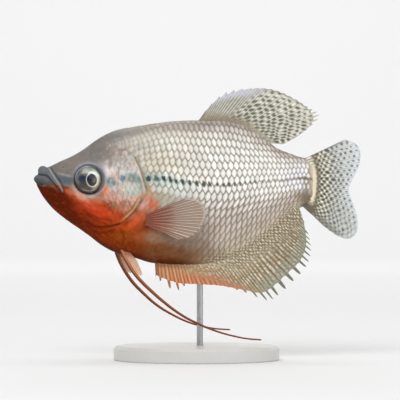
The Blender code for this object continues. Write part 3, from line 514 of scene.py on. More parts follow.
# folds and lines of the face: line, colour, strength, width
# the dark throat fold is painted shade in its crease
cheekLines = [(cheekEdge, (170, 120, 108), 0.3, 0.3), (throatFold, (88, 26, 6), 0.75, 0.4)]
cheekLines += [(fold, (106, 28, 4), 0.5, 0.5) for fold in cheekFolds]
# the dark lip groove, mouth slit and corner fold are painted shade in those creases
mouthLines = [
    (lipRidge, (168, 168, 170), 0.8, 0.3), (lipGroove, (70, 68, 68), 0.8, 0.25),
    (mouthSlit, (44, 42, 44), 0.9, 0.26), (cornerFold, (96, 40, 26), 0.7, 0.28),
]


def shadeBy(table, value):
    table = np.array(table, float)
    return np.stack([smoothCurve(table[:, [0, k]])(value) for k in (1, 2, 3)], axis=-1) / 255


def stroke(colour, x, h, mark):
    cx, ch, long, tall, turn, shade, strength = mark
    c, s = math.cos(math.radians(turn)), math.sin(math.radians(turn))
    a, b = ((x - cx) * c + (h - ch) * s) / long, ((h - ch) * c - (x - cx) * s) / tall
    wobble = 0.45 * (grain(x, h, 1.3, cx) - 0.5)
    lay(colour, rgb(*shade), strength * fade(1.4, 0.3, np.hypot(a, b) + wobble))


def drawLines(colour, x, h, lines):
    for line, shade, strength, width in lines:
        lay(colour, rgb(*shade), strength * hump(lineSide(line, x, h)[0], width))


def paintBody(x, h):
    share = np.clip(sideShare(x, h), 0, 1)
    colour = shadeBy(flankShades, share)
    lay(colour, shadeBy(highShades, x), fade(56, 42, x))
    wobble = 1.2 * (grain(x, h, 1.8, 4) - 0.5)
    soft = np.interp(x, [0, 10, 30, 45, 60, 98], [0.5, 0.6, 1.2, 2.4, 3.0, 3.0])
    low = fade(soft, -soft, h - redEdge(x) + wobble) * np.interp(x, [50, 62, 98], [1, 0.7, 0.8])
    lay(colour, shadeBy(lowShades, x), low)
    for mark in strokes:
        stroke(colour, x, h, mark)
    # painted light: the rear of the body is lightened towards its lower edge, against the shade there
    lay(colour, rgb(206, 194, 172), 0.8 * fade(0.3, 0.04, share) * fade(60, 72, x) * fade(97, 93, x))
    # fine flecks on the cheek and gill cover
    fleck = 0.5 * grain(x * 1.5, h * 0.8, 1.0, 9) + 0.5 * grain(x * 2.6 + h, h * 1.7, 1.0, 10)
    where = fade(24.5, 26.5, x) * fade(40, 38, x) * fade(-11, -8, h) * fade(13, 8, h)
    lay(colour, rgb(234, 228, 226), 0.35 * fade(0.5, 0.85, fleck) * where)
    lay(colour, rgb(130, 112, 104), 0.2 * fade(0.42, 0.15, fleck) * where)
    mottle = grain(x * 1.1, h * 0.9, 1.2, 12)
    where = fade(22, 26, x) * fade(40, 36, x) * fade(4, 6, h) * fade(15, 11, h)
    lay(colour, rgb(146, 130, 122), 0.4 * fade(0.5, 0.85, mottle) * where)
    lay(colour, rgb(222, 208, 198), 0.3 * fade(0.4, 0.1, mottle) * where)
    streak = 0.6 * grain(x * 0.3 - h * 0.2, h * 1.3 + x * 0.8, 0.7, 17)
    streak = streak + 0.4 * grain(x * 0.6 - h * 0.4, h * 1.3 + x * 0.7, 0.4, 19)
    red = fade(0.5, -1.5, h - redEdge(x)) * fade(34, 24, x)
    lay(colour, rgb(222, 96, 40), 0.24 * fade(0.5, 0.9, streak) * red)
    lay(colour, rgb(80, 20, 2), 0.34 * fade(0.5, 0.1, streak) * red)
    warm = fade(22, 30, x) * fade(42, 34, x) * fade(redEdge(x) + 1, redEdge(x) - 1, h)
    lay(colour, rgb(206, 104, 44), 0.22 * fade(0.4, 0.9, grain(x, h, 0.5, 21)) * warm)
    lay(colour, rgb(74, 32, 14), 0.75 * fade(2.6, 0.3, h - belly(x)) * fade(17, 26, x) * fade(62, 50, x))
    # gill cover's pale edge with the dark line and the red skin behind it; the dark line is painted shadow of
    # the cover's rim
    gap, side, way = lineSide(gillEdge, x, h)
    for shade, strength, before, place, width, comes, goes in gillLines:
        where = ((side < 0) == before) * fade(*comes, way) * fade(*goes, way)
        lay(colour, rgb(*shade), strength * hump(gap - place, width) * where)
    drawLines(colour, x, h, cheekLines)
    # lips
    lips = np.zeros_like(x)
    for x0, h0, size in upperLip[:3] + lowerLip[:2]:
        lips = np.maximum(lips, fade(size * 1.3, size * 0.95, np.hypot(x - x0, h - h0)))
    layAll(colour, [
        ((106, 109, 113), 0.97 * lips),
        ((76, 80, 80), 0.8 * lips * fade(1.4, 0.0, h + 0.3 * (x - 2))),
        ((58, 44, 36), 0.75 * lips * fade(-0.3, -1.3, h + 0.3 * (x - 2))),
    ])
    drawLines(colour, x, h, mouthLines)
    # eye's rim and the fold over it
    away = np.hypot(x - eyeX, h - eyeH)
    upward = (h - eyeH) / np.maximum(away, 0.1)
    tailward = (x - eyeX) / np.maximum(away, 0.1)
    layAll(colour, [
        ((160, 154, 166), 0.8 * fade(-0.5, 0.5, upward + 0.5 * tailward) * hump(away - 5.8, 0.6)),
        ((118, 122, 132), 0.95 * fade(5.8, 5.3, away) * fade(-0.9, -0.2, upward + 0.3 * tailward)),
        ((90, 92, 102), 0.9 * fade(5.9, 5.3, away) * fade(0.3, 0.9, tailward - 0.2 * upward)),
        ((92, 96, 96), 0.7 * hump(away - 5.0, 0.25) * fade(0.0, 0.7, upward)),
        ((112, 108, 112), 0.9 * fade(5.7, 5.1, away) * fade(0.2, 0.8, tailward - 0.6 * upward)),
        ((46, 32, 26), 0.95 * fade(5.5, 5.0, away) * fade(0.0, -0.6, upward + 0.6 * tailward)),
        ((208, 180, 164), 0.7 * hump(away - 5.9, 0.35) * fade(-0.3, -0.8, upward + 0.2 * tailward)),
    ])
    for cx, ch, size, _ in nostrils:
        gap = np.hypot(x - cx, h - ch)
        lay(colour, rgb(176, 152, 138), 0.35 * hump(gap - size, 0.2))
        lay(colour, rgb(96, 84, 78), size * fade(size * 1.1, size * 0.5, gap))
    # tail root's cream arc, with painted shadow under the tail stalk
    layAll(colour, [
        ((120, 98, 70), 0.75 * hump(x - 95.4, 0.8) * hump(h + 1.6, 3.2)),
        ((214, 178, 130), 0.7 * hump(lineSide(tailRootArc, x, h)[0] - 0.6, 0.4)),
        ((250, 243, 224), 0.95 * hump(lineSide(tailRootArc, x, h)[0], 0.55)),
        ((112, 92, 70), 0.85 * fade(92, 96, x) * fade(-4.6, -6.4, h)),
        ((150, 126, 104), 0.7 * fade(94, 96.5, x) * fade(5.4, 7.0, h)),
    ])
    return colour


# the dark spots along the lateral line
spotX = np.array([
    40.6, 43.4, 45.9, 48.2, 50.2, 52.5, 55.0, 57.4, 59.8, 61.8, 64.5, 66.7, 68.6, 70.5, 72.5, 74.2, 76.0,
    77.7, 80.2, 82.4, 84.6, 86.8, 89.0, 91.2, 93.2, 95.2,
])


def darkSpots(colour, x, h):
    line = lateralLine(x)
    slant = x + 0.2 * (h - line)
    near = spotX[np.argmin(np.abs(slant[:, None] - spotX[None, :]), axis=1)]
    size = 0.8 + 0.4 * grain(near * 3.1, near, 1.0, 2)
    wide = size * np.interp(
        near, [40, 42, 43, 45, 47, 65, 80, 92, 96], [0.8, 0.8, 1.1, 0.62, 0.56, 0.52, 0.4, 0.34, 0.8]
    )
    tall = np.interp(near, [40, 47, 65, 80, 92, 96], [1.0, 0.98, 0.8, 0.52, 0.4, 0.7]) * size
    drop = 0.3 * (grain(near * 1.7, near, 1.0, 5) - 0.5)
    away = np.hypot((slant - near) / wide, (h - line - drop) / tall)
    away = away + 0.7 * (grain(x * 2, h * 2, 1.0, 3) - 0.5)
    lay(colour, rgb(150, 182, 176), 0.45 * fade(2.4, 1.0, away) * fade(58, 46, x))
    dark = rgb(42, 58, 62) + np.interp(near, [46, 75], [0, 1])[:, None] * (rgb(88, 80, 64) - rgb(42, 58, 62))
    dark = dark + hump(near - 43.4, 1.0)[:, None] * (rgb(72, 100, 96) - dark)
    strength = np.interp(near, [40, 42, 44, 66, 79, 86, 95], [0.9, 0.85, 0.92, 0.9, 0.7, 0.3, 0.6])
    lay(colour, dark, fade(1.3, 0.7, away) * fade(38.5, 39.5, x) * strength)
    lay(
        colour, rgb(126, 112, 100),
        hump(h - line, 0.4) * np.interp(x, [80, 90, 94, 96.5], [0, 0.35, 0.7, 0.8])
    )


scalePitch = smoothCurve([
    (16, 1.1), (24, 1.3), (30, 1.45), (38, 1.9), (44, 2.1), (56, 2.13), (64, 2.02), (70, 1.9), (76, 1.68),
    (88, 1.46), (98, 1.36),
])
rowPitch = smoothCurve([
    (16, 1.3), (24, 1.6), (32, 1.8), (42, 2.3), (52, 2.7), (66, 2.7), (74, 2.4), (82, 2.15), (90, 1.95),
    (98, 1.7),
])


# skin

skinLook = {
    "voxel": 0.3, "smoothing": 4, "coatDepth": 0.32, "gillStep": 0.35,
    "material": {"roughness": (0.32, 0.46), "coat": 0.02, "coatRoughness": 0.12, "specular": 0.03,
                 "bump": 0.3, "mottle": 0.1, "mottleScale": 700.0, "cells": 1100.0, "cellBump": 0.12},
}


def loftShell():
    # the sections stand closer together at the snout
    snout = np.linspace(0, 0.3, 16)[:-1] ** 1.6 * 2.06 * 0.3
    xs = snoutX + 96.9 * np.concatenate([snout, np.linspace(0.09, 1, 150)])
    xs = np.unique(np.clip(xs, snoutX, 98.1))
    ring = 96
    angles = np.linspace(-math.pi / 2, math.pi / 2, ring // 2 + 1)
    points = []
    for x in xs:
        y, h = section(np.full_like(angles, x), angles)
        ys = np.concatenate([y, -y[-2:0:-1]])
        hs = np.concatenate([h, h[-2:0:-1]])
        points.append(np.stack([np.full(ring, x), ys, hs], axis=-1))
    faces = [list(f) for f in gridFaces(len(xs), ring, closed=True)]
    faces += [list(range(ring)), list(range((len(xs) - 1) * ring, len(xs) * ring))[::-1]]
    return np.concatenate(points), faces


def tubeShell(path, sides, pointed=False):
    # closed tube along rows of x, y, h, radius
    path = np.asarray(path, float)
    ahead = np.gradient(path[:, :3], axis=0)
    ahead /= np.linalg.norm(ahead, axis=1, keepdims=True)
    across = np.zeros((len(path), 3))
    first = np.cross(ahead[0], (0, 1, 0) if abs(ahead[0][2]) > 0.9 else (0, 0, 1))
    for k in range(len(path)):
        first = first - first.dot(ahead[k]) * ahead[k]
        first /= np.linalg.norm(first)
        across[k] = first
    upward = np.cross(ahead, across)
    turn = np.arange(sides) / sides * 2 * math.pi
    ringPoints = across[:, None] * np.cos(turn)[None, :, None] + upward[:, None] * np.sin(turn)[None, :, None]
    points = path[:, None, :3] + ringPoints * path[:, 3][:, None, None]
    faces = [list(f) for f in gridFaces(len(path), sides, closed=True)]
    last = (len(path) - 1) * sides
    points = points.reshape(-1, 3)
    if pointed:
        points = np.concatenate([points, [path[-1, :3] + ahead[-1] * path[-1, 3] * 1.5]])
        faces += [[last + k, last + (k + 1) % sides, len(points) - 1] for k in range(sides)]
    else:
        faces.append(list(range(last, last + sides)))
    faces.append(list(range(sides))[::-1])
    return points, faces


def lipShell(lip):
    rows = along(lip, np.linspace(0, 1, 25))
    reach = np.maximum(flankY(np.maximum(rows[:, 0], 1.25), rows[:, 1]) - 0.55 * rows[:, 2], 0)
    reach *= np.minimum(np.linspace(0, 24 / 9, 25), 1) ** 0.5
    side = np.stack([rows[:, 0], reach, rows[:, 1], rows[:, 2]], axis=-1)
    other = side[:0:-1] * (1, -1, 1, 1)
    return tubeShell(np.concatenate([other, side]), 20)


def coverRise(x, h):
    # how proud the gill cover's rim and the preopercle stand
    gap, side, way = lineSide(gillEdge, x, h)
    inRange = fade(0.0, 0.2, way) * fade(1.0, 0.9, way)
    rise = 0.3 * hump(gap - 0.6, 0.7) * (side < 0) * inRange
    gap, side, _ = lineSide(cheekEdge, x, h)
    return rise + 0.14 * hump(gap - 0.4, 0.5) * (side < 0) - 0.12 * hump(gap - 0.3, 0.4) * (side > 0)


# line, height and width
carvedLines = [
    (throatFold, -0.22, 0.4), (lipRidge, 0.2, 0.45), (lipGroove, -0.42, 0.32), (mouthSlit, -0.35, 0.3),
    (cornerFold, -0.3, 0.35),
]


def buildSkin():
    shells = [loftShell(), lipShell(upperLip), lipShell(lowerLip)]
    points, faces, start = [], [], 0
    for shellPoints, shellFaces in shells:
        points.append(shellPoints)
        faces += [[i + start for i in f] for f in shellFaces]
        start += len(shellPoints)
    made = makePiece("skin", np.concatenate(points), faces, skinMaterial)
    wrap = made.modifiers.new("wrap", "REMESH")
    wrap.mode = "VOXEL"
    wrap.voxel_size = skinLook["voxel"] * mm
    wrap.use_smooth_shade = True
    relax = made.modifiers.new("relax", "SMOOTH")
    relax.iterations = skinLook["smoothing"]
    relax.factor = 0.5
    done = bpy.data.meshes.new_from_object(made.evaluated_get(bpy.context.evaluated_depsgraph_get()))
    made.modifiers.clear()
    made.data = done
    co = np.zeros(len(done.vertices) * 3, np.float32)
    done.vertices.foreach_get("co", co)
    co = co.reshape(-1, 3).astype(float) / mm + (noseToMiddle, 0, -axisHeight)
    normal = np.zeros(len(done.vertices) * 3, np.float32)
    done.vertex_normals.foreach_get("vector", normal)
    normal = normal.reshape(-1, 3).astype(float)
    x, _, h = co.T
    rise = np.zeros(len(co))
    # behind the gill cover the skin is let in, because the scales lie over it
    gap, side, way = lineSide(gillEdge, x, h)
    behind = np.where(side > 0, fade(0.0, 0.5, gap), 0.0)
    inRange = fade(0.0, 0.2, way) * fade(1.0, 0.9, way)
    coat = skinLook["coatDepth"] * fade(26, 38, x + 0.4 * h)
    rise -= coat + (skinLook["gillStep"] * hump(gap - 0.7, 1.0) * behind) * inRange
    rise += coverRise(x, h)
    for line, height, width in carvedLines:
        rise += height * hump(lineSide(line, x, h)[0], width)
    away = np.hypot(x - eyeX, h - eyeH)
    rise += 0.4 * hump(away - 5.3, 0.45) - 1.5 * fade(4.85, 4.3, away)
    rise += 0.16 * hump(away - 6.6, 0.5) * fade(-0.3, 0.5, (h - eyeH) / np.maximum(away, 0.1))
    for cx, ch, _, size in nostrils:
        gap = np.hypot(x - cx, h - ch)
        rise += 0.12 * hump(gap - size, 0.25) - size * fade(size, size * 0.4, gap)
    co += normal * rise[:, None]
    done.vertices.foreach_set("co", toWorld(co).astype(np.float32).ravel())
    done.update()
    colour = paintBody(x, h)
    darkSpots(colour, x, h)
    lay(colour, rgb(120, 106, 84), 0.35 * fade(36, 44, x))
    dress(made, made.data.materials[0], colour)
    finishPiece(
        made, "face_skin", "upper_jaw", "lower_jaw", "head", "gill_cover_left", "gill_cover_right",
        "torso", "tail_stalk"
    )
    print("skin made:", len(done.polygons), "faces")


# scales

scaleLook = {
    "sectors": 28, "rings": (0.25, 0.45, 0.6, 0.7, 0.78, 0.85, 0.91, 0.96, 1.0), "tip": 0.8, "front": 0.95,
    "half": 0.85, "squareness": 1.7, "tilt": 0.3, "dome": 0.07, "edge": 0.14, "leanUp": 0.14,
    "leanDown": 0.37, "middle": 0.25, "base": -0.29, "usualPitch": 2.1,
    "material": {"roughness": (0.24, 0.38), "coat": 0.15, "coatRoughness": 0.12, "specular": 0.35,
                 "bump": 0.2, "mottle": 0.05, "bumpScale": 2600.0},
}
cheekLook = {
    "first": 24.8, "pitch": 1.6, "rowPitch": 1.7, "tall": 1.06, "lean": -0.12,
    "form": {"rings": (0.4, 0.7, 0.9, 1.0), "tip": 0.8, "front": 0.9, "half": 0.8, "tilt": 0.12, "dome": 0.02,
             "edge": 0.1, "middle": 0.2, "base": -0.06, "over": coverRise},
}


def columnLean(v):
    # how far a column of scales leans back at that distance from the lateral line
    up, down = np.maximum(v - 2.0, 0), np.maximum(-v - 2.0, 0)
    return -scaleLook["leanUp"] * up * fade(0, 12, up) - scaleLook["leanDown"] * down * fade(0, 8, down)


def columnStarts():
    xs = [15.0]
    while xs[-1] < 116.0:
        xs.append(xs[-1] + float(scalePitch(xs[-1])))
    return np.array(xs)


scaleColumns = columnStarts()


def columnPlace(column, v):
    # columns lean back away from the lateral line and draw together towards the back
    x = np.interp(column, np.arange(len(scaleColumns)), scaleColumns) + columnLean(v)
    return 68 + (x - 68) * squeeze(v)


def squeeze(v):
    return 1 - 0.13 * fade(3, 15, v)


def rowHeight(x, below):
    # rows under the lateral line are a little taller
    return rowPitch(x) * np.where(below, 1.05, 1.0)


def scaleRoots(side):
    c, r = np.meshgrid(np.arange(len(scaleColumns) - 1), np.arange(-16, 17), indexing="ij")
    c, r = c.reshape(-1), r.reshape(-1)
    c = c + np.where(r % 2, 0.5, 0.0)
    x = columnPlace(c, 0 * c)
    for _ in range(4):
        v = (r + 0.5) * rowHeight(x, r < 0)
        x = columnPlace(c, v)
    x = np.clip(x + 0.1 * (grain(c * 7.3, r * 5.1, 1.0, 3) - 0.5), 2, 110)
    v = v + 0.12 * (grain(c * 3.3, r * 9.7, 1.0, 6) - 0.5)
    seat = onSheet(x, v)
    pitch = scalePitch(x)
    h = seat[:, 2]
    gap, sign, _ = lineSide(gillEdge, x, h)
    onFlank = ((sign > 0) & (gap > 0.5 * pitch)) | (x > 40)
    nape = (h > np.interp(x, [22, 27, 31, 34, 36.5], [13.5, 12.0, 11.2, 10.0, 7.0])) & (x > 24)
    breast = (h < np.interp(x, [27, 31, 38], [-17.6, -16.6, -13.0])) & (x > 29.5)
    keep = np.where(x < 37, nape | breast, onFlank)
    keep |= nape & (x < 41) & ((sign > 0) | (h > 10))
    keep &= (seat[:, 1] > 0.02) | ((np.abs(seat[:, 1]) <= 0.02) & (side > 0))
    keep &= (x < 96.4) & (x > 24)
    return x[keep], v[keep], c[keep]


def cheekRoots():
    # small thin scales of the cheek and the gill cover
    found = []
    for r in range(-9, 10):
        v = r * cheekLook["rowPitch"]
        for c in range(12):
            x = cheekLook["first"] + c * cheekLook["pitch"] + (cheekLook["pitch"] / 2 if r % 2 else 0.0)
            found.append((x + cheekLook["lean"] * v, v))
    x, v = np.array(found).T
    h = onSheet(x, v)[:, 2]
    gap, sign, way = lineSide(gillEdge, x, h)
    clear = (sign < 0) & (gap > 1.35) & (way > 0.001) & (way < 0.985)
    clear &= np.hypot(x - eyeX, h - eyeH) > 6.9
    clear &= (h < 11.5) & (h > -13.2) & (lineSide(cheekEdge, x, h)[0] > 0.55)
    clear &= x > np.interp(h, [-14, -8, 0, 12], [27, 24, 25.5, 27])
    return x[clear], v[clear]


def makeScales(name, side, x0, v0, pitch, tall, lean, form, painter, material):
    sectors, rings = scaleLook["sectors"], np.array(form["rings"])
    turn = np.arange(sectors) / sectors * 2 * math.pi
    c, s = np.cos(turn), np.sin(turn)
    power = 2 / scaleLook["squareness"]
    outA = np.sign(c) * np.abs(c) ** power * np.where(c > 0, form["tip"], form["front"])
    outB = np.sign(s) * np.abs(s) ** power * form["half"]
    shares = np.concatenate([[0.0], np.repeat(rings, sectors), np.full(sectors, 1.0)])
    localA = np.concatenate([[0.0], np.tile(outA, len(rings) + 1)]) * shares
    localB = np.concatenate([[0.0], np.tile(outB, len(rings) + 1)]) * shares
    # the rings gather round the middle of the part that shows
    localA = localA + (1 - shares) * form["middle"]
    skirt = np.zeros(len(shares))
    skirt[-sectors:] = 1.0
    count = len(shares)
    x = x0[:, None] + localA[None] * pitch[:, None] + lean[:, None] * localB[None] * tall[:, None]
    v = v0[:, None] + localB[None] * tall[:, None]
    points = onSheet(x, v)
    normals = sheetNormal(x, v)
    behind = (localA[None] + form["front"]) / (form["tip"] + form["front"])
    larger = (pitch[:, None] / scaleLook["usualPitch"]) ** 0.5
    lift = form["base"] + form["tilt"] * form.get("flat", 1.0) * behind * larger
    lift = lift + form["dome"] * (1 - shares[None] ** 2)
    if "over" in form:
        lift = lift + form["over"](points[..., 0], points[..., 2])
    lift = lift - skirt[None] * form["edge"]
    points = points + normals * lift[..., None]
    points[..., 1] *= side
    start = 1 + np.arange(len(rings)) * sectors
    k = np.arange(sectors)
    n = (k + 1) % sectors
    quads = np.concatenate([
        np.stack([ring + k, ring + sectors + k, ring + sectors + n, ring + n], axis=-1) for ring in start
    ])
    caps = np.stack([np.zeros_like(k), 1 + k, 1 + n], axis=-1)
    if side > 0:
        quads, caps = quads[:, ::-1], caps[:, ::-1]
    shift = (np.arange(len(x0)) * count)[:, None, None]
    faces = (quads[None] + shift).reshape(-1, 4).tolist() + (caps[None] + shift).reshape(-1, 3).tolist()
    flat = points.reshape(-1, 3)
    la, lb = np.tile(localA, len(x0)), np.tile(localB, len(x0))
    colour = painter(flat, la, lb, np.repeat(x0, count), np.repeat(v0, count))
    made = makePiece(name, flat, faces, material, colour)
    # each scale is a small patch at its root's place on the side laid out flat
    layer = made.data.uv_layers.new(name="OFBake")
    patch = 0.0015
    u = np.repeat(x0 / 100, count) + patch * la
    w = np.repeat((v0 - sheetLow) / 70, count) + patch * lb
    loops = np.zeros(len(made.data.loops), np.int32)
    made.data.loops.foreach_get("vertex_index", loops)
    layer.data.foreach_set("uv", np.stack([u, w], axis=-1)[loops].astype(np.float32).ravel())
    finishPiece(made, "flank_skin")
    print(name, len(x0), "plates", len(faces), "faces")


def barePart(x, share, upper):
    # the belly behind the throat and, less so, the flank over it, where the scales hardly show
    low = fade(64, 54, x) * fade(0.42, 0.26, share)
    return np.maximum(low, upper * fade(60, 48, x) * fade(0.56, 0.48, share))


def paintScales(flat, la, lb, rootX, rootV):
    px, ph = flat[:, 0], flat[:, 2]
    colour = paintBody(px, ph)
    rootH = onSheet(rootX, rootV)[:, 2]
    share = np.clip(sideShare(rootX, rootH), 0, 1)
    jitter = grain(rootX * 7.3, rootV * 5.1, 1.0, 3) - 0.5
    # the part that shows is a lens between its own hind edge and the scales before it
    wide = np.interp(share, [0.1, 0.3, 0.46, 0.56], [0.35, 0.37, 0.42, 0.44])
    tall = np.interp(share, [0.2, 0.42], [0.72, 0.62])
    lens = wide * (1 - (np.abs(lb) / tall) ** 2.1) - np.abs(la - 0.3)
    pearl = fade(-0.02, 0.25, lens + 0.05 * jitter)
    between = fade(0.1, -0.07, lens + 0.03 * jitter)
    rim = plain(flat, 146, 136, 120)
    layAll(rim, [
        ((126, 110, 84), fade(0.5, 0.36, share)),
        ((104, 92, 78), 0.7 * fade(0.45, 0.66, np.abs(lb)) * fade(0.4, 0.5, share)),
        ((120, 102, 90), 0.8 * fade(0.8, 0.95, share)),
        ((150, 142, 144), fade(88, 95, rootX) * 0.7),
        ((110, 58, 30), fade(60, 48, rootX) * fade(0.42, 0.25, share)),
        ((142, 128, 104), fade(64, 44, rootX) * fade(0.45, 0.6, share)),
    ])
    strong = np.interp(rootX, [22, 36, 46, 58, 72, 98], [0.3, 0.42, 0.66, 0.82, 0.78, 0.6])
    strong = strong * np.interp(share, [0, 0.12, 0.3, 0.55, 0.9, 1], [0.5, 0.7, 0.9, 1, 0.8, 0.6])
    bare = barePart(rootX, share, 0.8)
    strong = strong * (1 - 0.8 * bare)
    glow = np.interp(share, [0.08, 0.3, 0.45, 0.65, 0.88, 1], [0.25, 0.45, 0.95, 1, 0.8, 0.2])
    glow = glow * fade(30, 50, rootX) * (1 - 0.95 * bare)
    glow = glow * (1 - 0.8 * fade(91, 95, rootX) * fade(-3.0, -5.5, rootH))
    shine = 0.75 + 0.25 * fade(-0.1, 0.5, la)
    lay(colour, rgb(252, 249, 240), 0.66 * pearl * glow * shine * fade(68, 46, rootX))
    lay(colour, rgb(255, 254, 252), 0.98 * pearl * glow * shine * fade(46, 68, rootX))
    colour *= 1 + 0.12 * jitter[:, None]
    lay(colour, rim, between * strong)
    # towards the anal fin the pattern breaks up into small beads
    low = fade(56, 66, px) * fade(5.0, 0.8, ph - belly(px)) * fade(94, 90, px)
    layBeads(colour, px, ph, 0.75 * low, 0.8 * low)
    darkSpots(colour, px, ph)
    return colour


def beadMarks(x, h, size):
    # distance from the nearest bead of a ragged net, 1 where two beads meet
    a = (x + 0.6 * h) / size + 0.7 * (grain(x, h, 1.4, 41) - 0.5)
    b = h / (0.9 * size) + 0.7 * (grain(x, h, 1.4, 43) - 0.5)
    row = np.floor(b)
    a = a + 0.5 * (row % 2)
    return np.hypot(a - np.floor(a) - 0.5, b - row - 0.5) * 2


def layBeads(colour, x, h, dark, light):
    bead = beadMarks(x, h, 1.15)
    lay(colour, rgb(120, 104, 78), dark * fade(0.5, 0.9, bead))
    lay(colour, rgb(226, 216, 192), light * fade(0.8, 0.3, bead))


def paintCheek(flat, la, lb, rootX, rootV):
    colour = paintBody(flat[:, 0], flat[:, 2])
    jitter = grain(rootX * 5.7, rootV * 3.9, 1.0, 8)
    tint = grain(rootX * 3.1, rootV * 6.3, 1.0, 18)
    colour *= 1 + 0.18 * (jitter[:, None] - 0.5)
    upper = fade(-10, -5, flat[:, 2])
    lay(colour, rgb(228, 180, 164), 0.4 * fade(0.6, 0.9, tint) * upper)
    lay(colour, rgb(206, 220, 218), 0.4 * fade(0.4, 0.1, tint) * upper)
    lay(colour, colour * 0.74, 0.5 * fade(0.5, 0.85, la / 0.8))
    return colour


def buildScales(word, side):
    x0, v0, column = scaleRoots(side)
    pitch, tall = scalePitch(x0) * squeeze(v0), rowHeight(x0, v0 < 0)
    e = 0.05
    lean = (columnPlace(column, v0 + e) - columnPlace(column, v0 - e)) / (2 * e) - 0.12 * fade(3, 10, v0)
    lean = lean + 0.03 * fade(-3, -9, v0) - 0.4 * fade(36, 28, x0) * (v0 > 0)
    # the belly behind the throat is nearly smooth
    rootH = onSheet(x0, v0)[:, 2]
    flat = 1 - 0.7 * barePart(x0, sideShare(x0, rootH), 0.7)
    # the red and brown plates shine as little as the skin, and a band of dull ones lies between
    warmth = warmPart(x0, rootH)
    rest = warmth < 0.25
    regions = {
        "breast": (warmth >= 0.75, skinMaterial), "breastedge": ((warmth < 0.75) & ~rest, dullMaterial),
        "front": (rest & (x0 < 50), scaleMaterial), "upper": (rest & (x0 >= 50) & (v0 > 0), scaleMaterial),
        "lower": (rest & (x0 >= 50) & (v0 <= 0), scaleMaterial),
    }
    for region, (pick, material) in regions.items():
        makeScales(
            f"scales_{word}_{region}", side, x0[pick], v0[pick], pitch[pick], tall[pick], lean[pick],
            {**scaleLook, "flat": flat[pick][:, None]}, paintScales, material
        )
    x0, v0 = cheekRoots()
    low = onSheet(x0, v0)[:, 2] < -8.5
    for region, pick, material in (("cheek", ~low, scaleMaterial), ("cheekfoot", low, dullMaterial)):
        size = np.full(pick.sum(), cheekLook["pitch"])
        makeScales(
            f"scales_{word}_{region}", side, x0[pick], v0[pick], size, size * cheekLook["tall"],
            np.full(pick.sum(), cheekLook["lean"]), cheekLook["form"], paintCheek, material
        )


def warmPart(x, h):
    # 1 on the red and brown breast and belly, 0 on the pearly flank
    edge = np.interp(x, [28, 36, 44, 52, 60, 72], [-6.5, -7.5, -13.0, -19.0, -23.0, -26.5])
    return fade(1.6, -1.6, h - edge)


# eyes

eyeLook = {
    "radius": 4.95, "depth": 2.5, "sink": 1.0, "yaw": 8.0,
    "pupilX": 1.07, "pupilH": -0.12, "pupilLean": 0.06, "pupilWide": 1.7, "pupilTall": 2.1,
    "material": {"roughness": (0.12, 0.2), "coat": 0.6, "specular": 0.3, "coatRoughness": 0.03, "bump": 0.08,
                 "mottle": 0.08, "mottleScale": 1400.0},
}


